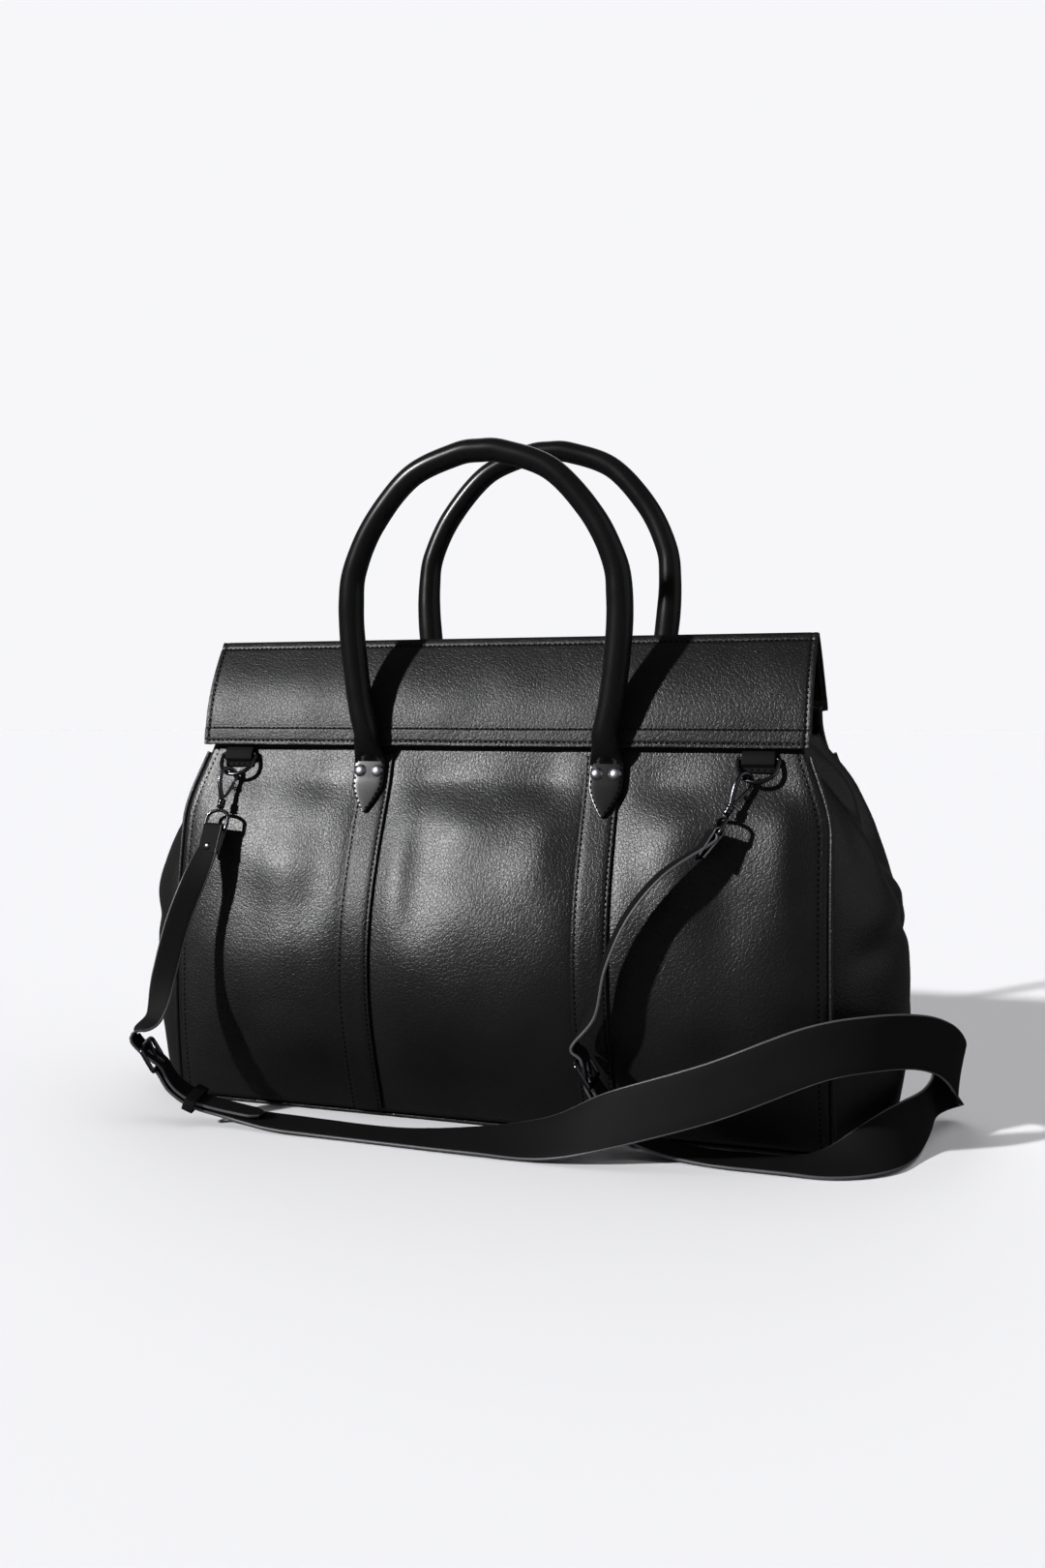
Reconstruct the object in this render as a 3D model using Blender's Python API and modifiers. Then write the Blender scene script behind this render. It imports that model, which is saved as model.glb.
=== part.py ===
"""Soft leather travel holdall with rolled handles and a clip-on shoulder strap.

Metres, +Z up. The origin is the middle of the underside. X runs along the bag,
the front faces -Y. Every separate piece of the bag is one named object.
"""
import bmesh
import bpy
import numpy as np
from math import cos, pi, radians, sin
from mathutils import Matrix, Vector

# ---- driving sizes ----------------------------------------------------------
GAP = 0.0003                    # clearance kept between pieces that touch
LEATHER = 0.0022                # body leather with its backing
PANEL_HALF_TOP = 0.262          # half length of the front and back panels, top
PANEL_HALF_FOOT = 0.268         # and at the foot
PANEL_FOOT_Z = 0.005
PANEL_TOP_Z = 0.317
BODY_HALF_DEPTH = 0.091         # half depth where the body is fullest
FULLEST_Z = 0.110
TAPER_ABOVE = 0.74              # how fast the body narrows above and below that
TAPER_BELOW = 0.90
CROWN = 0.024                   # the soft panels belly out by this in their middle
CROWN_TOP_Z = 0.270
BASE_HALF = (0.262, 0.0785)     # half length and half depth of the base
BASE_THICK = 0.0028
BOARD_HALF = (0.250, 0.0720)    # stiff board inside, over the base
BOARD_THICK = 0.0025
LINING_HALF_X = 0.252
LINING_FLOOR_Z = 0.0068
LINING_TALL = 0.200
LINING_THICK = 0.0008
LINING_IN = 0.0030              # the lining hangs this far inside the leather
PIPING_R = 0.0021
GUSSET_BULGE = {-1: 0.060, 1: 0.051}    # how far the left and right ends stand out
GUSSET_ROUND = {-1: 0.55, 1: 0.75}      # smaller is boxier
GUSSET_FULL_Z = 0.178
GUSSET_IN = 0.004               # its edges start this far inside the panels' ends
GUSSET_TOP_Z = 0.306
HINGE_Z = 0.217                 # fold line across the back when the mouth opens

RIDGE_HALF = 0.250              # half length of the closed mouth
RIDGE_Z = 0.382
RIDGE_Y = -0.036                # the closed mouth leans to the front
FLAP_LEATHER = 0.0030
FRONT_HEM = (-0.0725, 0.2965)   # y, z of the front flap's lower edge
BACK_HEM = (0.0660, 0.3260)
BACK_FLAP_HALF = 0.244

BAND_X = 0.0935                 # vertical bands down to the base
BAND_WIDTH = 0.027
BAND_THICK = 0.0018
BAND_SPREAD = 0.004             # the front bands stand wider at the foot
TAB_X = 0.098                   # handle tabs
TAB_WIDTH = 0.027
TAB_TIP_Z = 0.2438
TAB_TOP_Z = 0.3045
TAB_THICK = 0.0030
RIVET_Z = 0.2767
RIVET_SPREAD = 0.0072
RIVET_R = 0.0046
BACK_TAB_RISE = 0.0275           # the back tabs sit higher, as the back flap is shorter

HANDLE_R = 0.0084
HANDLE_CORE_R = 0.0060
HANDLE_PEAK_Z = 0.5220
HANDLE_PEAK_Y = 0.0850
HANDLE_OUT = 0.0080             # the handle's foot stands this far off the flap's hem
# Half of the handle's arch: half width, share of the climb, share of the lean.
HANDLE_ARCH = [(0.0985, 0.000, 0.00), (0.1035, 0.12, 0.0), (0.1090, 0.33, 0.15),
               (0.1098, 0.48, 0.35), (0.1060, 0.60, 0.50), (0.0890, 0.76, 0.70),
               (0.0575, 0.92, 0.90), (0.0200, 0.99, 0.99), (0.0, 1.0, 1.0)]

RING_X = {-1: 0.2180, 1: 0.2120}        # D-rings
RING_WIRE = 0.0017
RING_BAR_Z = 0.2885
RING_HALF = 0.0147
RING_DROP = 0.0205
RING_SIDE = 0.0055              # straight part of the D's sides
RING_ROUND = 1.02
RING_TILT = radians(38)
RING_TAB_WIDTH = 0.0245
RING_TAB_THICK = 0.0014
# The tab's height up the panel, and how far it stands off it there to pass the ring's bar.
RING_TAB_LIFT = [(0.2790, 0.0), (0.2822, 0.0002), (0.2850, 0.0036), (0.2885, 0.0040),
                 (0.2920, 0.0031), (0.2960, 0.0005), (0.3010, 0.0), (0.3080, 0.0)]

STRAP_WIDTH = 0.040
STRAP_END_WIDTH = 0.0205
STRAP_THICK = 0.0024
BILLET_WIDTH = 0.0195
BILLET_THICK = 0.0022
BUCKLE_WIRE = 0.00175
BUCKLE_HALF = 0.0135
BUCKLE_LONG = 0.020
BILLET_LIFT = 0.0042            # a billet's height over the strap and the buckle's bar
BILLET_STEPS = 60
KEEPER_OUTER = (0.009, 0.0304, 0.0122)      # along, across and through the strap
KEEPER_INNER = (0.020, 0.0276, 0.0096)
PRONG_R = 0.0012

ZIP_HALF = 0.236
ZIP_Z = 0.372
ZIP_TAPE_DEEP = 0.0100
SLIDER_SIZE = (0.0070, 0.0048, 0.0030)
SLIDER_X = ZIP_HALF + 0.004
SLIDER_LIFT = 0.0042            # it rides over the coils
PULL_R = 0.0011
PULL_LONG = 0.024
PULL_RISE = 0.0004

FRONT, BACK = -1, 1
HEMS = {FRONT: FRONT_HEM, BACK: BACK_HEM}


# ---- small helpers ----------------------------------------------------------
def clear_scene():
    for thing in list(bpy.data.objects):
        bpy.data.objects.remove(thing, do_unlink=True)


def new_collection(name):
    group = bpy.data.collections.new(name)
    bpy.context.scene.collection.children.link(group)
    return group


def finish(name):
    """A Principled material for one piece, in a named finish."""
    colours = {
        "leather": ((0.018, 0.018, 0.020, 1), 0.42, 0.0),
        "strap": ((0.012, 0.012, 0.013, 1), 0.62, 0.0),
        "hardware": ((0.050, 0.050, 0.055, 1), 0.22, 1.0),
        "tape": ((0.015, 0.015, 0.016, 1), 0.80, 0.0),
        "lining": ((0.060, 0.058, 0.060, 1), 0.85, 0.0),
        "board": ((0.110, 0.095, 0.080, 1), 0.90, 0.0),
        "rope": ((0.560, 0.520, 0.440, 1), 0.90, 0.0),
    }
    colour, rough, metal = colours[name]
    made = bpy.data.materials.new(name)
    made.use_nodes = True
    shader = made.node_tree.nodes["Principled BSDF"]
    shader.inputs["Base Color"].default_value = colour
    shader.inputs["Roughness"].default_value = rough
    shader.inputs["Metallic"].default_value = metal
    return made


def add(name, data, finish_name, group=None):
    thing = bpy.data.objects.new(name, data)
    (group or parts).objects.link(thing)
    data.materials.append(finish(finish_name))
    return thing


def sheet(name, across, along, place, thick, finish_name, outward=-1):
    """A grid whose corners u, v in 0..1 are put where place(u, v) says, then thickened.

    place gives the outer face when outward is -1: the wall grows to the inside.
    """
    bm = bmesh.new()
    bmesh.ops.create_grid(bm, x_segments=across, y_segments=along, size=0.5)
    for vert in bm.verts:
        vert.co = place(vert.co.x + 0.5, vert.co.y + 0.5)
    data = bpy.data.meshes.new(name)
    bm.to_mesh(data)
    bm.free()
    thing = add(name, data, finish_name)
    wall = thing.modifiers.new("wall", "SOLIDIFY")
    wall.thickness = thick
    wall.offset = outward
    wall.use_even_offset = True
    return thing


def tube(name, points, radius, finish_name, closed=False, sides=2, group=None):
    """A round bar along a list of points."""
    data = bpy.data.curves.new(name, "CURVE")
    data.dimensions = "3D"
    data.bevel_depth = radius
    data.bevel_resolution = sides
    data.use_fill_caps = not closed
    line = data.splines.new("POLY")
    line.points.add(len(points) - 1)
    for spot, point in zip(line.points, points):
        spot.co = (*point, 1.0)
    line.use_cyclic_u = closed
    return add(name, data, finish_name, group)


def as_mesh(thing):
    """Turns a curve into a mesh with its caps welded on."""
    bpy.context.view_layer.update()
    seen = thing.evaluated_get(bpy.context.evaluated_depsgraph_get())
    data = bpy.data.meshes.new_from_object(seen)
    bm = bmesh.new()
    bm.from_mesh(data)
    bmesh.ops.remove_doubles(bm, verts=bm.verts, dist=0.000005)
    bm.to_mesh(data)
    bm.free()
    name, place = thing.name, thing.matrix_world.copy()
    bpy.data.objects.remove(thing, do_unlink=True)
    solid = bpy.data.objects.new(name, data)
    solid.matrix_world = place
    parts.objects.link(solid)
    return solid


def turned(name, profile, centre, axis, finish_name, steps=16):
    """A profile of (radius, height) pairs, top to bottom, turned about an axis."""
    data = bpy.data.meshes.new(name)
    spots = [(r, 0.0, z) for r, z in profile]
    data.from_pydata(spots, [(i, i + 1) for i in range(len(spots) - 1)], [])
    thing = add(name, data, finish_name)
    spin = thing.modifiers.new("turn", "SCREW")
    spin.steps = spin.render_steps = steps
    spin.use_merge_vertices = True
    spin.merge_threshold = 0.00001
    thing.location = centre
    thing.rotation_mode = "QUATERNION"
    thing.rotation_quaternion = direction(axis).to_track_quat("Z", "Y")
    return thing


def direction(values):
    return Vector([float(v) for v in values]).normalized()


def box(name, centre, size, frame, group):
    """A box whose sides follow the three unit rows of frame."""
    bm = bmesh.new()
    bmesh.ops.create_cube(bm, size=1.0)
    turn = Matrix([[float(frame[j][i]) for j in range(3)] for i in range(3)]).to_4x4()
    for vert in bm.verts:
        vert.co = [vert.co[i] * size[i] for i in range(3)]
    data = bpy.data.meshes.new(name)
    bmesh.ops.transform(bm, matrix=turn, verts=bm.verts)
    bmesh.ops.translate(bm, vec=[float(c) for c in centre], verts=bm.verts)
    bmesh.ops.recalc_face_normals(bm, faces=bm.faces)
    bm.to_mesh(data)
    bm.free()
    thing = bpy.data.objects.new(name, data)
    group.objects.link(thing)
    return thing


def boolean(thing, other, operation):
    """Cuts thing by other, or joins other to it."""
    cut = thing.modifiers.new(operation.lower(), "BOOLEAN")
    cut.operation = operation
    cut.object = other
    cut.solver = "EXACT"
    other.hide_render = True
    other.display_type = "WIRE"


def unit(vector):
    vector = np.asarray(vector, float)
    return vector / np.linalg.norm(vector)


def smooth(points, count):
    """A smooth curve through rows of numbers, sampled evenly along its length."""
    rows = np.asarray(points, float)
    ends = np.vstack([2 * rows[0] - rows[1], rows, 2 * rows[-1] - rows[-2]])
    fine = []
    for i in range(1, len(ends) - 2):
        a, b, c, d = ends[i - 1:i + 3]
        for t in np.linspace(0, 1, 24, endpoint=False):
            fine.append(0.5 * (2 * b + (c - a) * t + (2 * a - 5 * b + 4 * c - d) * t ** 2
                               + (3 * b - a - 3 * c + d) * t ** 3))
    fine.append(rows[-1])
    fine = np.array(fine)
    steps = np.linalg.norm(np.diff(fine[:, :3], axis=0), axis=1)
    far = np.concatenate([[0], np.cumsum(steps)])
    where = np.linspace(0, far[-1], count)
    return np.array([np.interp(where, far, fine[:, k]) for k in range(fine.shape[1])]).T


def blend(z, points):
    """Value at z between (z, value) pairs."""
    return float(np.interp(z, [p[0] for p in points], [p[1] for p in points]))


# ---- the body's form --------------------------------------------------------
def half_depth(z):
    """Half depth of the body's outer face at a height."""
    if z > FULLEST_Z:
        return BODY_HALF_DEPTH - TAPER_ABOVE * (z - FULLEST_Z) ** 2
    return BODY_HALF_DEPTH - TAPER_BELOW * (FULLEST_Z - z) ** 2


def face_y(x, z):
    """Distance of the bellied outer face from the middle plane."""
    rise = sin(pi * min(1.0, max(0.0, z / CROWN_TOP_Z))) ** 1.3
    return half_depth(z) + CROWN * rise * (1 - (x / panel_half(z)) ** 2)


def panel_half(z):
    """Half length of a panel at a height."""
    return blend(z, [(0, PANEL_HALF_FOOT), (PANEL_TOP_Z, PANEL_HALF_TOP)])


def panel(name, side, low, high, rows):
    def place(u, v):
        z = low + (high - low) * v
        x = (2 * u - 1) * (panel_half(z) - GAP)
        return (x * -side, side * face_y(x, z), z)
    return sheet(name, 12, rows, place, LEATHER, "leather")


def gusset(name, side):
    """Soft end panel, fullest low down and drawn in towards the mouth."""

    def place(u, v):
        z = PANEL_FOOT_Z + (GUSSET_TOP_Z - PANEL_FOOT_Z) * v
        full = GUSSET_BULGE[side]
        bulge = blend(z, [(0, 0.70 * full), (0.07, 0.96 * full), (GUSSET_FULL_Z, full),
                          (0.24, 0.44 * full), (GUSSET_TOP_Z, -0.012)])
        reach = half_depth(z) - LEATHER - 0.0016
        across = (2 * u - 1) * side
        swell = max(0.0, cos(across * pi / 2)) ** GUSSET_ROUND[side]
        x = panel_half(z) - GUSSET_IN + (bulge + GUSSET_IN) * swell
        return (side * x, across * reach, z)
    return sheet(name, 12, 12, place, LEATHER, "leather")


def front_flap():
    def place(u, v):
        y = blend(v, [(0, FRONT_HEM[0]), (1, RIDGE_Y - 0.004)]) - 0.002 * sin(pi * v)
        z = blend(v, [(0, FRONT_HEM[1]), (1, RIDGE_Z)])
        return ((2 * u - 1) * RIDGE_HALF, y, z)
    return sheet("flap_front", 4, 6, place, FLAP_LEATHER, "leather")


def back_flap():
    def place(u, v):
        y = blend(v, [(0, BACK_HEM[0]), (1, RIDGE_Y + 0.004)])
        z = blend(v, [(0, BACK_HEM[1]), (1, RIDGE_Z)]) + 0.004 * sin(pi * v)
        half = blend(v, [(0, BACK_FLAP_HALF), (1, RIDGE_HALF)])
        return (-(2 * u - 1) * half, y, z)
    return sheet("flap_back", 4, 6, place, FLAP_LEATHER, "leather")


def band(name, x, side, low, high, rows):
    """A flat reinforcing band sewn over a panel."""

    def place(u, v):
        z = low + (high - low) * v
        spread = BAND_SPREAD * (1 - v) if side == FRONT else 0.0
        x_here = x * (1 + spread / abs(x)) - side * (u - 0.5) * BAND_WIDTH
        return (x_here, side * (face_y(x_here, z) + 2 * GAP), z)
    return sheet(name, 1, rows, place, BAND_THICK, "leather", outward=1)


def piping(name, side_x, side_y, low, high):
    points = []
    for z in np.linspace(low, high, 14):
        points.append((side_x * (panel_half(z) + PIPING_R + 2 * GAP),
                       side_y * (half_depth(z) - PIPING_R), z))
    return tube(name, points, PIPING_R, "leather")


def tab(name, x, side, rise):
    """Leaf-shaped handle tab with its point down; it climbs over the flap's hem."""
    low, high = TAB_TIP_Z + rise, TAB_TOP_Z + rise
    hem_y, hem_z = abs(HEMS[side][0]), HEMS[side][1]
    on_band = BAND_THICK + 5 * GAP
    leaves = RIVET_Z + rise + 0.0065
    lift = [(leaves, face_y(x, leaves) + on_band), (hem_z - 0.0015, hem_y + 0.0010),
            (high, hem_y + 0.0022)]

    def place(u, v):
        z = low + (high - low) * v
        half = TAB_WIDTH / 2 * min(1.0, 0.08 + 1.02 * sin(min(1.0, v * 1.9) * pi / 2) ** 0.85)
        y = face_y(x, z) + on_band if z < leaves else blend(z, lift)
        return (x - side * (2 * u - 1) * half, side * y, z)
    return sheet(name, 4, 14, place, TAB_THICK, "leather", outward=1)


def rivet(name, x, side, z):
    y = side * (face_y(x, z) + BAND_THICK + 7 * GAP + TAB_THICK)
    dome = [(0.0, 0.0024), (0.0020, 0.0021), (0.0038, 0.0012), (RIVET_R, 0.0), (0.0, 0.0)]
    slope = 2 * TAPER_ABOVE * (z - FULLEST_Z)
    return turned(name, dome, (x, y, z), (0, side, slope), "hardware", steps=12)


def handle(name, side, rise):
    """Rolled handle: a leather cover round a rope core."""
    foot_y = abs(HEMS[side][0]) + HANDLE_OUT
    foot_z = TAB_TOP_Z + rise + 0.0015
    climb = HANDLE_PEAK_Z + rise - foot_z
    half = [(x, side * (foot_y + (HANDLE_PEAK_Y - foot_y) * lean), foot_z + climb * up)
            for x, up, lean in HANDLE_ARCH]
    whole = [(-x, y, z) for x, y, z in half] + half[-2::-1]
    route = smooth(whole, 44)
    cover = as_mesh(tube(name, route, HANDLE_R, "leather", sides=3))
    hollow = as_mesh(tube(name + "_hollow", extended(route, 0.004), HANDLE_CORE_R + GAP,
                          "leather", sides=2, group=cutters))
    move_to(hollow, cutters)
    boolean(cover, hollow, "DIFFERENCE")
    tube(name + "_core", route[1:-1], HANDLE_CORE_R, "rope", sides=2)


def extended(route, by):
    """The same route, longer at both ends."""
    first = route[0] + unit(route[0] - route[1]) * by
    last = route[-1] + unit(route[-1] - route[-2]) * by
    return np.vstack([first, route, last])


def move_to(thing, group):
    for owner in list(thing.users_collection):
        owner.objects.unlink(thing)
    group.objects.link(thing)


def d_ring(name, x):
    """Wire D with its straight bar behind the tab, leaning off the panel."""
    bar_y = -(half_depth(RING_BAR_Z) + RING_WIRE + GAP)
    flat = [(RING_HALF * share, 0.0) for share in (-1, -0.5, 0, 0.5, 1)]
    for step in range(11):
        turn = pi * step / 10
        flat.append((RING_HALF * RING_ROUND * cos(turn),
                     RING_SIDE + (RING_DROP - RING_SIDE) * sin(turn)))
    points = [(x + across, bar_y - down * sin(RING_TILT), RING_BAR_Z - down * cos(RING_TILT))
              for across, down in flat]
    return tube(name, points, RING_WIRE, "hardware", closed=True)


def ring_tab(name, x):
    """Short leather keeper that holds a D-ring's bar against the panel."""
    low, high = RING_TAB_LIFT[0][0], RING_TAB_LIFT[-1][0]

    def place(u, v):
        z = low + (high - low) * v
        y = half_depth(z) + GAP + blend(z, RING_TAB_LIFT)
        return (x + (u - 0.5) * RING_TAB_WIDTH, -y, z)
    return sheet(name, 1, 12, place, RING_TAB_THICK, "leather", outward=1)


# ---- zip --------------------------------------------------------------------
def zip_chain(name, side):
    """One side of the zip: woven tape with its coil along the free edge."""
    # Section: distance from the middle plane, height over the coil's middle.
    section = [(0.0, 0.0012), (0.0, -0.0012), (0.0020, -0.0012), (0.0026, -ZIP_TAPE_DEEP),
               (0.0034, -ZIP_TAPE_DEEP), (0.0030, 0.0004), (0.0012, 0.0012)]
    spots = [(-ZIP_HALF, RIDGE_Y + side * (GAP + away), ZIP_Z + up) for away, up in section]
    data = bpy.data.meshes.new(name)
    bm = bmesh.new()
    face = bm.faces.new([bm.verts.new(spot) for spot in spots])
    moved = bmesh.ops.extrude_face_region(bm, geom=[face])["geom"]
    bmesh.ops.translate(bm, vec=(2 * ZIP_HALF, 0, 0),
                        verts=[v for v in moved if isinstance(v, bmesh.types.BMVert)])
    bmesh.ops.recalc_face_normals(bm, faces=bm.faces)
    bm.to_mesh(data)
    bm.free()
    return add(name, data, "tape")


def zip_slider():
    body = box("zip_slider", (SLIDER_X, RIDGE_Y, ZIP_Z + SLIDER_LIFT), SLIDER_SIZE, np.eye(3), parts)
    body.data.materials.append(finish("hardware"))
    edge = body.modifiers.new("edge", "BEVEL")
    edge.width = 0.0006
    edge.segments = 2


def zip_pull():
    """Lies back over the closed chains from the slider's end."""
    start = SLIDER_X - SLIDER_SIZE[0] / 2 - 0.0015
    points = [(start - PULL_LONG * share, RIDGE_Y, ZIP_Z + SLIDER_LIFT + PULL_RISE)
              for share in (0, 0.3, 0.7, 1)]
    tube("zip_pull", points, PULL_R, "hardware")


# ---- shoulder strap ---------------------------------------------------------
# Each row: x, y, z of the middle of the band, then the direction of its near edge.
STRAP_ROUTE = [
    (-0.2440, -0.1530, 0.0440, 0.35, -0.85, -0.35),
    (-0.2350, -0.1480, 0.0280, 0.32, -0.88, -0.32),
    (-0.2130, -0.1420, 0.0145, 0.20, -0.95, -0.20),
    (-0.1650, -0.1350, 0.0050, 0.05, -1.00, -0.05),
    (-0.1100, -0.1330, 0.0022, 0.00, -1.00, 0.00),
    (-0.0480, -0.1345, 0.0024, 0.00, -1.00, -0.02),
    (0.0200, -0.1380, 0.0074, 0.00, -0.96, -0.25),
    (0.0740, -0.1410, 0.0150, 0.00, -0.80, -0.60),
    (0.1260, -0.1450, 0.0350, 0.00, -0.35, -0.93),
    (0.1950, -0.1420, 0.0595, 0.05, -0.08, -1.00),
    (0.2600, -0.1300, 0.0870, 0.08, 0.00, -1.00),
    (0.2980, -0.1080, 0.0930, 0.00, 0.00, -1.00),
    (0.3260, -0.0680, 0.0880, -0.10, 0.00, -1.00),
    (0.3420, -0.0250, 0.0750, -0.14, 0.00, -1.00),
    (0.3500, 0.0120, 0.0580, -0.16, 0.00, -1.00),
    (0.3510, 0.0400, 0.0420, -0.14, 0.00, -1.00),
    (0.3430, 0.0580, 0.0300, -0.08, 0.00, -1.00),
    (0.3330, 0.0500, 0.0234, 0.00, 0.00, -1.00),
    (0.3310, 0.0160, 0.0208, 0.00, 0.00, -1.00),
    (0.3270, -0.0220, 0.0206, 0.10, -0.02, -1.00),
    (0.3160, -0.0600, 0.0192, 0.40, -0.25, -0.88),
    (0.2980, -0.0910, 0.0133, 0.55, -0.60, -0.58),
    (0.2730, -0.1060, 0.0063, 0.42, -0.88, -0.22),
    (0.2430, -0.1080, 0.0025, 0.10, -0.99, -0.02),
    (0.2120, -0.1075, 0.0018, 0.02, -1.00, 0.00),
    (0.1800, -0.1090, 0.0027, 0.00, -1.00, -0.04),
    (0.1480, -0.1140, 0.0092, 0.05, -0.93, -0.30),
    (0.1250, -0.1180, 0.0225, 0.14, -0.66, -0.70),
    (0.1120, -0.1215, 0.0400, 0.25, -0.66, -0.68),
    (0.1040, -0.1240, 0.0530, 0.29, -0.76, -0.57),
]
STRAP_STEPS = 120
KEEPER_STEP = 4
STRAP_NARROW = 0.050            # shares of the strap's length: the narrow end, then its flare
STRAP_FLARE = 0.060


def framed(rows, count):
    """Middles, forward, near-edge and face directions along a band's route."""
    line = smooth(rows, count)
    middle = line[:, :3]
    ahead = np.gradient(middle, axis=0)
    ahead /= np.linalg.norm(ahead, axis=1)[:, None]
    edge = line[:, 3:6] - (line[:, 3:6] * ahead).sum(1)[:, None] * ahead
    edge /= np.linalg.norm(edge, axis=1)[:, None]
    return middle, ahead, edge, np.cross(edge, ahead)


def ribbon(name, rows, count, width, thick, finish_name):
    """A flat band along a route; width(t) is its width at t in 0..1."""
    middle, _, edge, _ = framed(rows, count)

    def place(u, v):
        i = round(v * (count - 1))
        return middle[i] - edge[i] * (2 * u - 1) * width(v) / 2
    return sheet(name, 1, count - 1, place, thick, finish_name, outward=0)


def strap_width(v):
    reach = min(v, 1 - v)
    grow = min(1.0, max(0.0, (reach - STRAP_NARROW) / STRAP_FLARE))
    return STRAP_END_WIDTH + (STRAP_WIDTH - STRAP_END_WIDTH) * grow * grow * (3 - 2 * grow)


def strap_end(which):
    """End point and outward, near-edge and face directions of the wide strap."""
    middle, ahead, edge, face = framed(STRAP_ROUTE, STRAP_STEPS)
    if which == "left":
        return middle[0], -ahead[0], edge[0], face[0]
    return middle[-1], ahead[-1], edge[-1], face[-1]


def buckle(side):
    end, out, edge, face = strap_end(side)
    heel = BUCKLE_WIRE + 2 * GAP

    def at(along, across, up=0.0):
        return end + out * along + edge * across + face * up

    far = heel + BUCKLE_LONG
    corners = [(heel, -1), (heel, -0.5), (heel, 0), (heel, 0.5), (heel, 1), (far - 0.003, 1),
               (far, 0.75), (far, 0), (far, -0.75), (far - 0.003, -1)]
    ring = [at(along, across * BUCKLE_HALF) for along, across in corners]
    tube("buckle_" + side, ring, BUCKLE_WIRE, "hardware", closed=True)
    lift = 2 * BUCKLE_WIRE
    prong = [at(heel + BUCKLE_WIRE + 0.0018, 0, 0), at(heel + 0.010, 0, 0.0020),
             at(far, 0, lift), at(far + 0.002, 0, lift)]
    tube("prong_" + side, prong, PRONG_R, "hardware")
    cutter = box("slot_" + side, at(heel + 0.0072, 0, 0.0016), (0.0140, 0.0038, 0.012),
                 (out, edge, face), cutters)
    return at, far, cutter


def billet(side, free_rows, tip_steps):
    """Narrow strap end: from the hook, through the buckle, over the wide strap to its tip."""
    at, far, cutter = buckle(side)
    end, out, edge, face = strap_end(side)
    middle, ahead, edges, faces = framed(STRAP_ROUTE, STRAP_STEPS)
    through = [np.r_[at(far + 0.011, 0, -0.0032), edge], np.r_[at(far, 0, -BILLET_LIFT), edge],
               np.r_[at(far * 0.5, 0, 0.0), edge], np.r_[at(BUCKLE_WIRE, 0, BILLET_LIFT), edge]]
    last = STRAP_STEPS - 1
    order = range(1, tip_steps) if side == "left" else range(last - 1, last - tip_steps, -1)
    tip = [np.r_[middle[i] + faces[i] * BILLET_LIFT, edges[i]] for i in order]
    rows = [np.array(row) for row in free_rows] + through + tip

    def width(v):
        return BILLET_WIDTH * min(1.0, 0.45 + (1 - v) * 30)
    strip = ribbon("billet_" + side, rows, BILLET_STEPS, width, BILLET_THICK, "strap")
    boolean(strip, cutter, "DIFFERENCE")
    spot = KEEPER_STEP if side == "left" else last - KEEPER_STEP
    loop_centre = middle[spot] + faces[spot] * (BILLET_LIFT / 2)
    keeper(side, loop_centre, ahead[spot], edges[spot], faces[spot])


def keeper(side, centre, ahead, edge, face):
    frame = (ahead, edge, face)
    outer = box("keeper_" + side, centre, KEEPER_OUTER, frame, parts)
    outer.data.materials.append(finish("strap"))
    inner = box("keeper_room_" + side, centre, KEEPER_INNER, frame, cutters)
    boolean(outer, inner, "DIFFERENCE")


HOOK_WIRE = 0.0018
HOOK_BEND = 0.0065
HOOK_PLAY = 0.0010              # clearance between a hook and its ring's wire
HOOK_LONG = 0.0345
GATE_R = 0.0012
EYE_HALF = 0.0108
EYE_DROP = 0.0150
EYE_WIRE = 0.0015


def hook(side, x, down, twist, eye_edge):
    """Trigger hook over a D-ring, its gate, and the swivel eye below it."""
    down = unit(down)
    aside = (abs(x) - RING_X[1 if x > 0 else -1]) / (RING_HALF * RING_ROUND)
    drop = RING_SIDE + (RING_DROP - RING_SIDE) * (1 - aside ** 2) ** 0.5
    wire = np.array([x, -(half_depth(RING_BAR_Z) + RING_WIRE + GAP) - drop * sin(RING_TILT),
                     RING_BAR_Z - drop * cos(RING_TILT)])
    top = wire - down * (RING_WIRE + HOOK_WIRE + HOOK_PLAY)
    flat = np.array([cos(twist), -sin(twist), 0.0])
    across = unit(flat - down * flat.dot(down))

    def at(side_way, along):
        return top + across * side_way + down * along

    bend = [at(HOOK_BEND * cos(t), HOOK_BEND * (1 - sin(t)))
            for t in np.radians(range(200, -1, -20))]
    shank = [at(0.0056, 0.013), at(0.0040, 0.019), at(0.0018, 0.0245), at(0.0003, 0.029),
             at(0, HOOK_LONG)]
    tube("hook_" + side, bend + shank, HOOK_WIRE, "hardware")
    gate = [at(-0.0056, 0.0102), at(-0.0040, 0.0170), at(-0.0014, 0.0245)]
    tube("hook_gate_" + side, gate, GATE_R, "hardware")
    edge = unit(np.array(eye_edge) - down * np.dot(eye_edge, down))
    low = HOOK_LONG + GAP + EYE_WIRE
    loop = []
    for t in np.linspace(0, pi, 9):
        loop.append(at(0, low + 0.006 * (1 - sin(t))) + edge * EYE_HALF * cos(t))
    loop += [at(0, low + EYE_DROP) - edge * EYE_HALF, at(0, low + EYE_DROP) + edge * EYE_HALF]
    tube("hook_eye_" + side, loop, EYE_WIRE, "hardware", closed=True)
    start = at(0, low + EYE_DROP + EYE_WIRE + GAP + 0.0010)
    return start, edge, down


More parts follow.
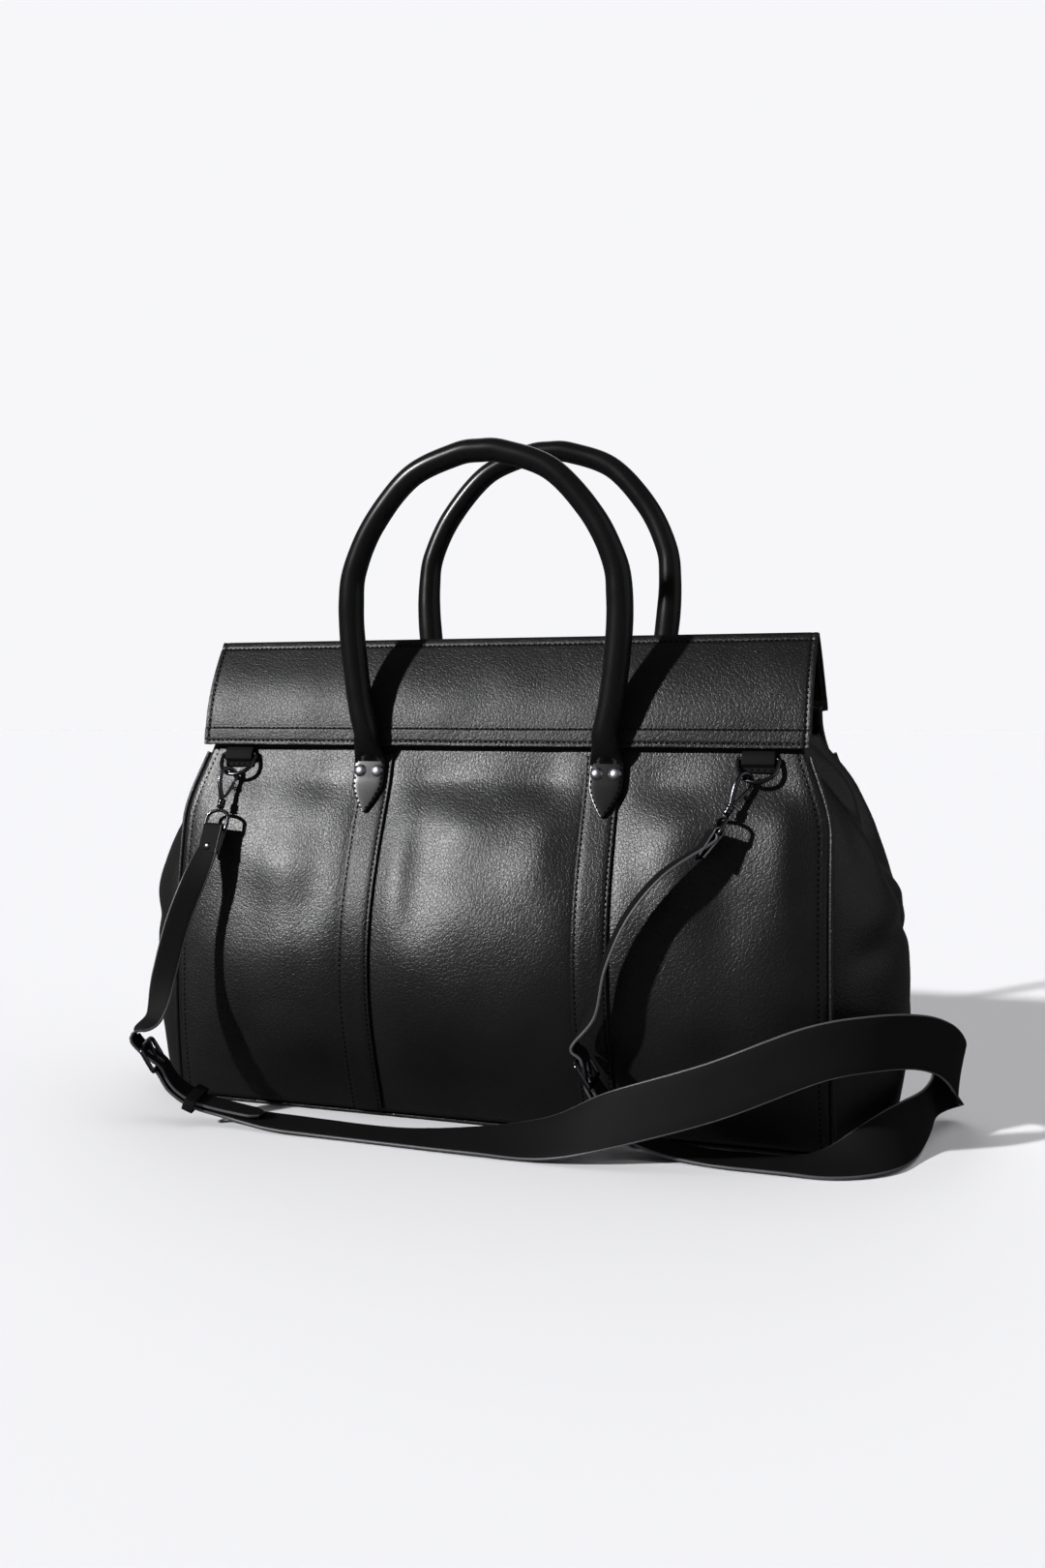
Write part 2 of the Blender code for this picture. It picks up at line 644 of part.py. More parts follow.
# ---- assembly ---------------------------------------------------------------
def base():
    for name, half_x, half_y, low, thick, look in (
            ("base_panel", *BASE_HALF, 0.0, BASE_THICK, "leather"),
            ("base_board", *BOARD_HALF, BASE_THICK + 2 * GAP, BOARD_THICK, "board")):
        size = (2 * half_x, 2 * half_y, thick)
        slab = box(name, (0, 0, low + thick / 2), size, np.eye(3), parts)
        slab.data.materials.append(finish(look))


def lining():
    """Open fabric tub inside the lower body."""
    bm = bmesh.new()
    bmesh.ops.create_cube(bm, size=1.0)
    top = [face for face in bm.faces if face.normal.z > 0.5]
    bmesh.ops.delete(bm, geom=top, context="FACES_ONLY")
    cuts = [edge for edge in bm.edges if abs(edge.verts[0].co.z - edge.verts[1].co.z) > 0.5]
    bmesh.ops.subdivide_edges(bm, edges=cuts, cuts=6)
    for vert in bm.verts:
        z = LINING_FLOOR_Z + LINING_TALL * (vert.co.z + 0.5)
        deep = half_depth(z) - LEATHER - LINING_IN
        vert.co = (vert.co.x * 2 * LINING_HALF_X, vert.co.y * 2 * deep, z)
    data = bpy.data.meshes.new("lining")
    bm.to_mesh(data)
    bm.free()
    thing = add("lining", data, "lining")
    wall = thing.modifiers.new("wall", "SOLIDIFY")
    wall.thickness = LINING_THICK
    wall.offset = -1


def body():
    panel("front_panel", FRONT, PANEL_FOOT_Z, PANEL_TOP_Z, 14)
    panel("back_panel_lower", BACK, PANEL_FOOT_Z, HINGE_Z - 0.002, 9)
    panel("back_panel_upper", BACK, HINGE_Z + 0.002, PANEL_TOP_Z, 5)
    base()
    lining()
    front_flap()
    back_flap()
    for word, side_x in (("left", -1), ("right", 1)):
        gusset("gusset_" + word, side_x)
        piping("piping_front_" + word, side_x, FRONT, 0.006, 0.290)
        piping("piping_back_" + word, side_x, BACK, 0.006, HINGE_Z - 0.003)
        band("band_front_" + word, side_x * BAND_X, FRONT, 0.0055, 0.2900, 13)
        band("band_back_" + word, side_x * BAND_X, BACK, 0.0055, HINGE_Z - 0.002, 9)
        band("band_back_top_" + word, side_x * BAND_X, BACK, HINGE_Z + 0.002, 0.3150, 5)


def handles():
    for word, side, rise in (("front", FRONT, 0.0), ("back", BACK, BACK_TAB_RISE)):
        handle("handle_" + word, side, rise)
        for end, side_x in (("left", -1), ("right", 1)):
            tab(f"tab_{word}_{end}", side_x * TAB_X, side, rise)
            for place, step in (("a", -1), ("b", 1)):
                rivet(f"rivet_{word}_{end}_{place}", side_x * TAB_X + step * RIVET_SPREAD, side,
                      RIVET_Z + rise)


def shoulder_strap():
    for word, side_x in (("left", -1), ("right", 1)):
        d_ring("d_ring_" + word, side_x * RING_X[side_x])
        ring_tab("ring_tab_" + word, side_x * RING_X[side_x])
    ribbon("shoulder_strap", STRAP_ROUTE, STRAP_STEPS, strap_width, STRAP_THICK, "strap")
    start, edge, down = hook("left", -0.2215, (-0.08, -0.40, -1.0), radians(130), (0.97, -0.22, -0.1))
    billet("left", [(*start, *edge), (*(start + down * 0.008), *edge),
                    (-0.2320, -0.1190, 0.1900, 0.92, 0.38, 0.0),
                    (-0.2420, -0.1290, 0.1550, 0.88, 0.46, -0.05),
                    (-0.2490, -0.1380, 0.1150, 0.88, 0.30, -0.2),
                    (-0.2510, -0.1490, 0.0830, 0.68, -0.40, -0.35)], 11)
    start, edge, down = hook("right", 0.2050, (-0.50, -0.52, -1.0), radians(130), (0.45, -0.88, 0.05))
    billet("right", [(*start, *edge), (*(start + down * 0.006), *edge),
                     (0.1530, -0.1220, 0.2080, 0.40, -0.91, 0.0),
                     (0.1290, -0.1290, 0.1780, 0.35, -0.93, -0.1),
                     (0.1130, -0.1320, 0.1420, 0.33, -0.93, -0.2),
                     (0.1050, -0.1310, 0.1080, 0.30, -0.88, -0.4)], 7)


clear_scene()
parts = new_collection("travel_holdall")
cutters = new_collection("cutters")
body()
handles()
zip_chain("zip_chain_front", FRONT)
zip_chain("zip_chain_back", BACK)
zip_slider()
zip_pull()
shoulder_strap()
for piece in cutters.objects:
    piece.hide_render = True
    piece.display_type = "WIRE"
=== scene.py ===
"""A soft black leather travel holdall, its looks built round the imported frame.

Run it as a script in Blender: each group of pieces has its own operator, and
main() calls them in order. X runs along the bag and the front faces -Y.
"""
from math import cos, pi, radians, sin

import bmesh
import bpy
import numpy as np
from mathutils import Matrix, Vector, noise


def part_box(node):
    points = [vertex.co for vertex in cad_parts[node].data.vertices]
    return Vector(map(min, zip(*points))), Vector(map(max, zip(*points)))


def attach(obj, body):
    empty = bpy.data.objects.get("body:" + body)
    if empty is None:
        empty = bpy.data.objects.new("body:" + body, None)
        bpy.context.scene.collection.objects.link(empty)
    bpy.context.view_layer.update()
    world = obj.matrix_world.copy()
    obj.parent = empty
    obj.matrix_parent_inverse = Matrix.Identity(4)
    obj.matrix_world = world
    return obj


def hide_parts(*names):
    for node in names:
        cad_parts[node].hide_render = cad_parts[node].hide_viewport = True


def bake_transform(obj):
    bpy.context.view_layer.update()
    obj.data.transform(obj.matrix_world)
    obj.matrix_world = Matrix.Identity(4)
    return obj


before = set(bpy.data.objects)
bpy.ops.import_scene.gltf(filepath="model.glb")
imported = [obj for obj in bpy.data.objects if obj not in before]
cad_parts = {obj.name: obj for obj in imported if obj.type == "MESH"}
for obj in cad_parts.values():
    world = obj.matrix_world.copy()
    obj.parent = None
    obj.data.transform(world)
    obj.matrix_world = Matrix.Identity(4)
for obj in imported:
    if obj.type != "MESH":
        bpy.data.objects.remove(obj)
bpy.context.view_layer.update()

bl_info = {
    "name": "Leather Holdall",
    "version": (1, 0, 0),
    "blender": (4, 5, 0),
    "location": "3D View > Sidebar > Holdall",
    "description": "Builds the looks of a soft leather holdall round its frame",
    "category": "Object",
}

# ---- the bag's form, the same as the frame's --------------------------------
GAP = 0.0003
LEATHER = 0.0022
PANEL_HALF_TOP = 0.262
PANEL_HALF_FOOT = 0.268
PANEL_FOOT_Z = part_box("front_panel")[0].z
PANEL_TOP_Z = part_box("front_panel")[1].z
GUSSET_BULGE = {-1: 0.060, 1: 0.051}
GUSSET_ROUND = {-1: 0.55, 1: 0.75}
GUSSET_TOP_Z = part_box("gusset_left")[1].z
RIDGE_Y, RIDGE_Z, RIDGE_HALF = -0.036, 0.382, 0.250
FRONT_HEM = (-0.0725, 0.2965)
BACK_HEM = (0.0660, 0.3260)
BACK_FLAP_HALF = 0.244
FLAP_LEATHER = 0.0030
BAND_X, BAND_WIDTH, BAND_THICK, BAND_SPREAD = 0.0935, 0.027, 0.0018, 0.004
TAB_X, TAB_WIDTH, TAB_TIP_Z, TAB_TOP_Z = 0.098, 0.027, 0.2438, 0.3045
RIVET_Z, RIVET_SPREAD, RIVET_R, RIVET_HIGH = 0.2767, 0.0072, 0.0046, 0.0024
BACK_TAB_RISE = 0.0275
FRONT, BACK = -1, 1
HEMS = {FRONT: FRONT_HEM, BACK: BACK_HEM}


def half_depth(z):
    """Half depth of the body's outer face at a height."""
    z = np.asarray(z, float)
    return 0.091 - np.where(z > 0.110, 0.74, 0.90) * (z - 0.110) ** 2


def panel_half(z):
    return np.interp(z, [0, 0.317], [PANEL_HALF_FOOT, PANEL_HALF_TOP])


def face_y(x, z):
    """Distance of the bellied outer face from the middle plane."""
    rise = np.sin(pi * np.clip(np.asarray(z, float) / 0.270, 0, 1)) ** 1.3
    return half_depth(z) + 0.024 * rise * (1 - (x / panel_half(z)) ** 2)


def drawn_in(z):
    """How far the body's corners lean in at a height, to pass under the flap."""
    return 0.021 * ease(z, 0.232, 0.318)


def ease(x, low, high):
    """0 below low, 1 above high, smooth between."""
    t = np.clip((np.asarray(x, float) - low) / (high - low), 0, 1)
    return t * t * (3 - 2 * t)


def hump(x, centre, width):
    return np.exp(-((np.asarray(x, float) - centre) / width) ** 2)


def cloudy(points, size, seed):
    """Smooth noise from -1 to 1 at each point; its patches are about size across."""
    shift = Vector((seed * 13.7, seed * 5.3, seed * 9.1))
    flat = np.asarray(points, float).reshape(-1, 3) / size
    made = [noise.noise(Vector(p) + shift) for p in flat]
    return np.array(made).reshape(np.asarray(points).shape[:-1])


def unit(vector):
    vector = np.asarray(vector, float)
    return vector / np.linalg.norm(vector, axis=-1, keepdims=True)


def smooth(points, count, loop=False):
    """A smooth curve through rows of numbers, sampled evenly along its length."""
    rows = np.asarray(points, float)
    if loop:
        rows = np.vstack([rows, rows[:1]])
    before = rows[-2] if loop else 2 * rows[0] - rows[1]
    after = rows[1] if loop else 2 * rows[-1] - rows[-2]
    ends = np.vstack([before, rows, after])
    fine = []
    for i in range(1, len(ends) - 2):
        a, b, c, d = ends[i - 1:i + 3]
        for t in np.linspace(0, 1, 24, endpoint=False):
            fine.append(0.5 * (2 * b + (c - a) * t + (2 * a - 5 * b + 4 * c - d) * t ** 2
                               + (3 * b - a - 3 * c + d) * t ** 3))
    fine = np.array(fine + [rows[-1]])
    steps = np.linalg.norm(np.diff(fine[:, :3], axis=0), axis=1)
    far = np.concatenate([[0], np.cumsum(steps)])
    where = np.linspace(0, far[-1], count, endpoint=not loop)
    return np.array([np.interp(where, far, fine[:, k]) for k in range(fine.shape[1])]).T


# ---- shader building --------------------------------------------------------
class Value:
    """A shader socket that takes plain arithmetic."""

    def __init__(self, paint, socket):
        self.paint = paint
        self.socket = socket

    def math(self, operation, *inputs):
        made = self.paint.node("ShaderNodeMath", {"operation": operation},
                               dict(enumerate(inputs)))
        return Value(self.paint, made.outputs[0])

    def __add__(self, other):
        return self.math("ADD", self, other)

    def __sub__(self, other):
        return self.math("SUBTRACT", self, other)

    def __rsub__(self, other):
        return self.math("SUBTRACT", other, self)

    def __mul__(self, other):
        return self.math("MULTIPLY", self, other)

    __radd__ = __add__
    __rmul__ = __mul__

    def sine(self):
        return self.math("SINE", self)

    def band(self, low, high):
        """0 below low, 1 above high, smooth between."""
        made = self.paint.node("ShaderNodeMapRange", {"interpolation_type": "SMOOTHSTEP"},
                               {"Value": self, "From Min": low, "From Max": high})
        return Value(self.paint, made.outputs[0])


class Paint:
    """A material whose nodes are made by one method."""

    def __init__(self, name, settings):
        self.material = bpy.data.materials.new(name)
        self.material.use_nodes = True
        self.tree = self.material.node_tree
        self.shader = self.tree.nodes["Principled BSDF"]
        self.set(self.shader, settings)

    def node(self, kind, settings=None, inputs=None):
        made = self.tree.nodes.new(kind)
        for key, value in (settings or {}).items():
            setattr(made, key, value)
        self.set(made, inputs or {})
        return made

    def set(self, node, inputs):
        for key, value in inputs.items():
            if isinstance(value, Value):
                self.tree.links.new(value.socket, node.inputs[key])
            elif isinstance(value, bpy.types.NodeSocket):
                self.tree.links.new(value, node.inputs[key])
            else:
                node.inputs[key].default_value = value

    def place(self):
        return self.node("ShaderNodeTexCoord").outputs["Object"]

    def stretched(self, scale):
        """Object coordinates times a scale for each axis."""
        return self.node("ShaderNodeMapping", {},
                         {"Vector": self.place(), "Scale": scale}).outputs[0]

    def noise(self, scale, detail=2.0, rough=0.5, where=None):
        made = self.node("ShaderNodeTexNoise", {}, {
            "Vector": where or self.place(), "Scale": scale, "Detail": detail, "Roughness": rough})
        return Value(self, made.outputs[0])

    def cells(self, scale, feature="F1", where=None):
        made = self.node("ShaderNodeTexVoronoi", {"feature": feature},
                         {"Vector": where or self.place(), "Scale": scale})
        return Value(self, made.outputs["Distance"])

    def attribute(self, name):
        made = self.node("ShaderNodeAttribute", {"attribute_name": name})
        return Value(self, made.outputs["Fac"])

    def mix(self, share, first, second):
        made = self.node("ShaderNodeMix", {"data_type": "RGBA"}, {0: share, 6: first, 7: second})
        return made.outputs[2]

    def bump(self, height, distance, strength=1.0):
        made = self.node("ShaderNodeBump", {}, {"Height": height, "Distance": distance,
                                                 "Strength": strength})
        self.set(self.shader, {"Normal": made.outputs[0]})


def grey(colour, factor):
    return (*[channel * factor for channel in colour[:3]], 1.0)


def bag_leather(look, name="bag_leather", sheen=1.0):
    """Pebbled black leather: rounded grains with fine valleys, and a sheen that varies."""
    paint = Paint(name, {"Specular IOR Level": look.leather_sheen * sheen})
    size = 1 / look.grain_size
    warped = paint.noise(size * 0.35, 2.0)
    stray = paint.node("ShaderNodeTexNoise", {}, {"Vector": paint.place(), "Scale": size * 0.5})
    shift = paint.node("ShaderNodeVectorMath", {"operation": "SCALE"},
                       {0: stray.outputs["Color"], "Scale": look.grain_size * 0.9})
    spot = paint.node("ShaderNodeVectorMath", {"operation": "ADD"},
                      {0: paint.place(), 1: shift.outputs[0]})
    pebble = paint.cells(size, "SMOOTH_F1", spot.outputs[0])
    crease = paint.cells(size * 0.42, "DISTANCE_TO_EDGE", spot.outputs[0]).band(0.0, 0.16)
    fine = paint.noise(size * 4.0, 3.0)
    height = (1 - pebble) * 0.75 + crease * 0.35 + fine * 0.22 + warped * 0.3
    paint.bump(height, look.grain_depth, 0.85)
    cloud = paint.noise(9.0, 3.0, 0.55)
    worn = paint.attribute("wear")
    paint.set(paint.shader, {
        "Base Color": paint.mix(cloud.band(0.3, 0.7) * 0.6 + worn * 0.4, grey(look.leather, 0.75),
                                grey(look.leather, 1.5)),
        "Roughness": (look.leather_rough + (cloud - 0.5) * 0.12 + (pebble - 0.4) * 0.06
                      - worn * 0.06),
    })
    return paint.material


def strap_leather(look, name="strap_leather", shine=0.10, rough=0.72):
    """Smooth strap leather with hair-fine pores."""
    paint = Paint(name, {"Specular IOR Level": shine})
    pores = paint.cells(1500.0)
    fibre = paint.noise(420.0, 4.0, 0.6)
    paint.bump(fibre * 0.6 + pores * 0.4, 0.00004, 0.35)
    cloud = paint.noise(22.0, 3.0)
    paint.set(paint.shader, {
        "Base Color": paint.mix(cloud, grey(look.leather, 0.8), grey(look.leather, 1.25)),
        "Roughness": rough + (cloud - 0.5) * 0.16,
    })
    return paint.material


def cut_edge(look):
    """The burnished cut edge of a thick strap, a little paler than its face."""
    paint = Paint("cut_edge", {"Specular IOR Level": 0.5})
    grain = paint.noise(900.0, 4.0, 0.7)
    paint.bump(grain, 0.00012, 0.7)
    paint.set(paint.shader, {
        "Base Color": paint.mix(grain, grey(look.edge, 0.7), grey(look.edge, 1.3)),
        "Roughness": 0.38 + grain * 0.16,
    })
    return paint.material


def black_nickel(look, name="black_nickel", pale=1.0, rough=0.16):
    """Polished black nickel with faint brushing and dulled spots; pale above 1 lightens its colour
    as a painted reflection of a bright studio.
    """
    paint = Paint(name, {"Metallic": 1.0})
    brush = paint.noise(260.0, 3.0, 0.6, paint.stretched((1.0, 1.0, 6.0)))
    spots = paint.noise(60.0, 3.0)
    paint.bump(brush, 0.00003, 0.35)
    paint.set(paint.shader, {
        "Base Color": paint.mix(spots, grey(look.metal, 0.8 * pale), grey(look.metal, 1.2 * pale)),
        "Roughness": rough + spots.band(0.45, 0.75) * 0.16 + brush * 0.05,
    })
    return paint.material


def thread(look):
    """Waxed black thread, twisted."""
    paint = Paint("thread", {"Specular IOR Level": 0.02})
    twist = paint.noise(2600.0, 2.0, 0.6)
    paint.bump(twist, 0.00012, 0.8)
    paint.set(paint.shader,
              {"Base Color": paint.mix(twist, grey(look.thread, 0.6), grey(look.thread, 1.4)),
               "Roughness": 0.62 + twist * 0.2})
    return paint.material


def weave(name, colour, pitch, rough):
    """Plain woven cloth of crossing yarns."""
    paint = Paint(name, {"Sheen Weight": 0.15})
    split = paint.node("ShaderNodeSeparateXYZ", {}, {0: paint.place()})
    turn = 2 * pi / pitch
    across = Value(paint, split.outputs[0]) + Value(paint, split.outputs[1])
    warp = (across * turn).sine()
    weft = (Value(paint, split.outputs[2]) * turn).sine()
    cross = warp * weft
    slub = paint.noise(0.6 / pitch, 3.0)
    paint.bump(cross * 0.5 + slub * 0.3, pitch * 0.25, 0.8)
    paint.set(paint.shader, {
        "Base Color": paint.mix(cross * 0.35 + 0.35 + slub * 0.3, grey(colour, 0.6),
                                grey(colour, 1.4)),
        "Roughness": rough + slub * 0.1,
    })
    return paint.material


def fibre_board():
    paint = Paint("fibre_board", {})
    flecks = paint.noise(180.0, 5.0, 0.7, paint.stretched((1.0, 3.0, 3.0)))
    paint.bump(flecks, 0.0003, 0.6)
    paint.set(paint.shader, {
        "Base Color": paint.mix(flecks.band(0.35, 0.65), (0.075, 0.062, 0.05, 1),
                                (0.15, 0.13, 0.11, 1)),
        "Roughness": 0.8 + flecks * 0.15})
    return paint.material


def twisted_rope():
    paint = Paint("twisted_rope", {"Sheen Weight": 0.2})
    strands = paint.noise(500.0, 3.0, 0.6, paint.stretched((1.0, 1.0, 0.35)))
    paint.bump(strands, 0.0006, 0.8)
    paint.set(paint.shader, {
        "Base Color": paint.mix(strands, (0.42, 0.38, 0.31, 1), (0.66, 0.62, 0.53, 1)),
        "Roughness": 0.85 + strands * 0.1})
    return paint.material


PAINTS = {}


def finish_of(name):
    """The finished material of that name, made the first time it is asked for."""
    if name not in PAINTS:
        look = bpy.context.scene.holdall_look
        makers = {"bag_leather": bag_leather, "strap_leather": strap_leather, "cut_edge": cut_edge,
                  "black_nickel": black_nickel, "thread": thread,
                  "board": lambda look: fibre_board(),
                  "rope": lambda look: twisted_rope(),
                  "flap_leather": lambda look: bag_leather(look, "flap_leather", 0.70),
                  "handle_leather": lambda look: strap_leather(look, "handle_leather", 0.22, 0.26),
                  # The rivets and zip pull use black nickel painted 3.2 times paler: a painted
                  # reflection of a bright studio that the scene's metal does not reflect.
                  "metal_with_painted_reflection": lambda look: black_nickel(look, "metal_with_painted_reflection", 3.2, 0.34),
                  "zip_tape": lambda look: weave("zip_tape", look.tape, 0.0009, 0.75),
                  "lining_fabric": lambda look: weave("lining_fabric", look.lining, 0.0011, 0.8)}
        PAINTS[name] = makers[name](look)
    return PAINTS[name]


# ---- mesh building ----------------------------------------------------------
def piece(name, spots, faces, finish, sharp=40, closed=True):
    """A mesh piece from corners and faces; a piece's place is in its mesh."""
    data = bpy.data.meshes.new(name)
    data.from_pydata([tuple(map(float, p)) for p in spots], [], faces)
    data.update()
    if closed:
        bm = bmesh.new()
        bm.from_mesh(data)
        bmesh.ops.remove_doubles(bm, verts=bm.verts, dist=1e-6)
        bmesh.ops.recalc_face_normals(bm, faces=bm.faces)
        bm.to_mesh(data)
        bm.free()
    data.materials.append(finish_of(finish))
    data.shade_smooth()
    data.set_sharp_from_angle(angle=radians(sharp))
    thing = bpy.data.objects.new(name, data)
    bpy.context.scene.collection.objects.link(thing)
    return thing


def ride(thing, body, slot, *nodes):
    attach(thing, body)
    if nodes:
        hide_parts(*nodes)
    return thing


def grid_faces(across, along):
    """Faces of a grid of corners, across by along, turned to face the way of u cross v."""
    return [(j * across + i, j * across + i + 1, (j + 1) * across + i + 1, (j + 1) * across + i)
            for j in range(along - 1) for i in range(across - 1)]


def sheet(name, us, vs, place, thick, finish, offset=-1.0, wear=None, edge=0.0):
    """A leather sheet over a grid. place(u, v) takes arrays and gives the outer face."""
    u, v = np.meshgrid(us, vs)
    spots = place(u, v).reshape(-1, 3)
    thing = piece(name, spots, grid_faces(len(us), len(vs)), finish, 55, closed=False)
    if wear is not None:
        worn = thing.data.attributes.new("wear", "FLOAT", "POINT")
        worn.data.foreach_set("value", wear(u, v).ravel().astype(np.float32))
    wall = thing.modifiers.new("wall", "SOLIDIFY")
    wall.thickness = thick
    wall.offset = offset
    wall.use_even_offset = True
    if edge:
        round_edges(thing, edge)
    return thing


def round_edges(thing, width, segments=2, angle=50):
    bevel = thing.modifiers.new("edges", "BEVEL")
    bevel.width = width
    bevel.segments = segments
    bevel.limit_method = "ANGLE"
    bevel.angle_limit = radians(angle)
    return bevel


def packed(low, high, count, *near, width=0.006, extra=7):
    """Even numbers from low to high, with more of them near the given places."""
    spots = list(np.linspace(low, high, count))
    for at in near:
        spots += list(np.linspace(at - width / 2, at + width / 2, extra))
    spots = np.unique(np.round([s for s in spots if low <= s <= high], 6))
    keep = [spots[0]]
    for s in spots[1:]:
        if s - keep[-1] > (high - low) * 2e-4:
            keep.append(s)
    keep[-1] = high
    return np.array(keep)


def frames_along(route, hint):
    """Forward, side and up directions along a route; hint is the wanted up, one or many."""
    ahead = unit(np.gradient(route, axis=0))
    up = np.broadcast_to(np.asarray(hint, float), route.shape)
    up = unit(up - (up * ahead).sum(1)[:, None] * ahead)
    return ahead, np.cross(ahead, up), up


def squared(turn, across, up):
    """A circle's cosines and sines raised to powers: the lower, the squarer."""
    c, s = np.cos(turn), np.sin(turn)
    return np.sign(c) * np.abs(c) ** across, np.sign(s) * np.abs(s) ** up


def ring_faces(rings, sides, loop=False):
    """Faces of a skin over rings of corners; it is capped unless it closes in a loop."""
    faces = [(j * sides + i, j * sides + (i + 1) % sides,
              (j + 1) % rings * sides + (i + 1) % sides, (j + 1) % rings * sides + i)
             for j in range(rings if loop else rings - 1) for i in range(sides)]
    if not loop:
        faces += [tuple(range(sides))[::-1], tuple(range((rings - 1) * sides, rings * sides))]
    return faces


def loft(name, route, side, up, half_wide, half_high, finish, square=2.0, sides=20, loop=False):
    """A closed body through rounded sections: each is half_wide by half_high, and squarer
    as square grows."""
    count = len(route)
    wide = np.broadcast_to(half_wide, count)
    high = np.broadcast_to(half_high, count)
    power = np.broadcast_to(square, count)
    turn = np.linspace(0, 2 * pi, sides, endpoint=False)
    spots = []
    for i in range(count):
        c, s = squared(turn, 2 / power[i], 2 / power[i])
        spots.append(route[i] + np.outer(c * wide[i], side[i]) + np.outer(s * high[i], up[i]))
    return piece(name, np.vstack(spots), ring_faces(count, sides, loop), finish)


def wire(name, points, radius, finish="black_nickel", loop=False, sides=16, count=0):
    """A round bar along points; radius is one number or one for each point."""
    rows = np.array([[*p, r] for p, r in zip(points, np.broadcast_to(radius, len(points)))], float)
    if loop:
        fine = smooth(rows, max(count, 8 * len(rows)), loop=True)
        ahead = unit(np.roll(fine[:, :3], -1, 0) - np.roll(fine[:, :3], 1, 0))
        flat = np.linalg.svd(fine[:, :3] - fine[:, :3].mean(0))[2][-1]
        side = np.broadcast_to(flat, ahead.shape)
        up = np.cross(side, ahead)
        return loft(name, fine[:, :3], side, up, fine[:, 3], fine[:, 3], finish, sides=sides,
                    loop=True)
    fine = smooth(rows, max(count, 6 * len(rows)))
    ahead = unit(np.gradient(fine[:, :3], axis=0))
    first = np.array([0.0, 0.0, 1.0] if abs(ahead[0][2]) <= 0.9 else [1.0, 0.0, 0.0])
    ups = [unit(first - (first @ ahead[0]) * ahead[0])]
    for step in ahead[1:]:
        ups.append(unit(ups[-1] - (ups[-1] @ step) * step))
    up = np.array(ups)
    return loft(name, fine[:, :3], np.cross(ahead, up), up, fine[:, 3], fine[:, 3], finish,
                sides=sides)


def turned(name, centre, axis, profile, finish="black_nickel", sides=24):
    """A profile of (radius, height) pairs turned about an axis through centre."""
    up = unit(axis)
    side = unit(np.cross(up, [0.3, 0.9, 0.2]))
    other = np.cross(up, side)
    turn = np.linspace(0, 2 * pi, sides, endpoint=False)
    spots = []
    for radius, height in profile:
        ring = np.outer(np.cos(turn), side) + np.outer(np.sin(turn), other)
        spots.append(np.asarray(centre) + ring * max(radius, 1e-5) + up * height)
    return piece(name, np.vstack(spots), ring_faces(len(profile), sides), finish)


def joined(name, things):
    """One piece from several that ride together."""
    made = bpy.data.meshes.new(name)
    bm = bmesh.new()
    for thing in things:
        bm.from_mesh(thing.data)
    bm.to_mesh(made)
    bm.free()
    made.materials.append(things[0].data.materials[0])
    made.shade_smooth()
    made.set_sharp_from_angle(angle=radians(40))
    for thing in things:
        bpy.data.objects.remove(thing, do_unlink=True)
    whole = bpy.data.objects.new(name, made)
    bpy.context.scene.collection.objects.link(whole)
    return whole


# ---- repeated pieces, by Geometry Nodes ---------------------------------------
def node_group(name, inputs):
    """A geometry node tree with named inputs: name to (socket type, default)."""
    tree = bpy.data.node_groups.new(name, "GeometryNodeTree")
    tree.interface.new_socket("Geometry", in_out="INPUT", socket_type="NodeSocketGeometry")
    tree.interface.new_socket("Geometry", in_out="OUTPUT", socket_type="NodeSocketGeometry")
    for label, (kind, default) in inputs.items():
        socket = tree.interface.new_socket(label, in_out="INPUT", socket_type=kind)
        if default is not None:
            socket.default_value = default
    return tree


class Tree:
    """Makes and links geometry nodes."""

    def __init__(self, tree):
        self.tree = tree
        self.source = tree.nodes.new("NodeGroupInput")
        self.target = tree.nodes.new("NodeGroupOutput")

    def node(self, kind, settings=None, inputs=None):
        made = self.tree.nodes.new(kind)
        for key, value in (settings or {}).items():
            setattr(made, key, value)
        for key, value in (inputs or {}).items():
            if isinstance(value, bpy.types.NodeSocket):
                self.tree.links.new(value, made.inputs[key])
            else:
                made.inputs[key].default_value = value
        return made

    def math(self, operation, first, second):
        return self.node("ShaderNodeMath", {"operation": operation},
                         {0: first, 1: second}).outputs[0]

    def end(self, geometry):
        """Realises the instances, paints them and ends the tree."""
        real = self.node("GeometryNodeRealizeInstances", {}, {0: geometry})
        smooth_on = self.node("GeometryNodeSetShadeSmooth", {}, {0: real.outputs[0]})
        painted = self.node("GeometryNodeSetMaterial", {}, {
            0: smooth_on.outputs[0], "Material": self.source.outputs["Finish"]})
        self.tree.links.new(painted.outputs[0], self.target.inputs[0])


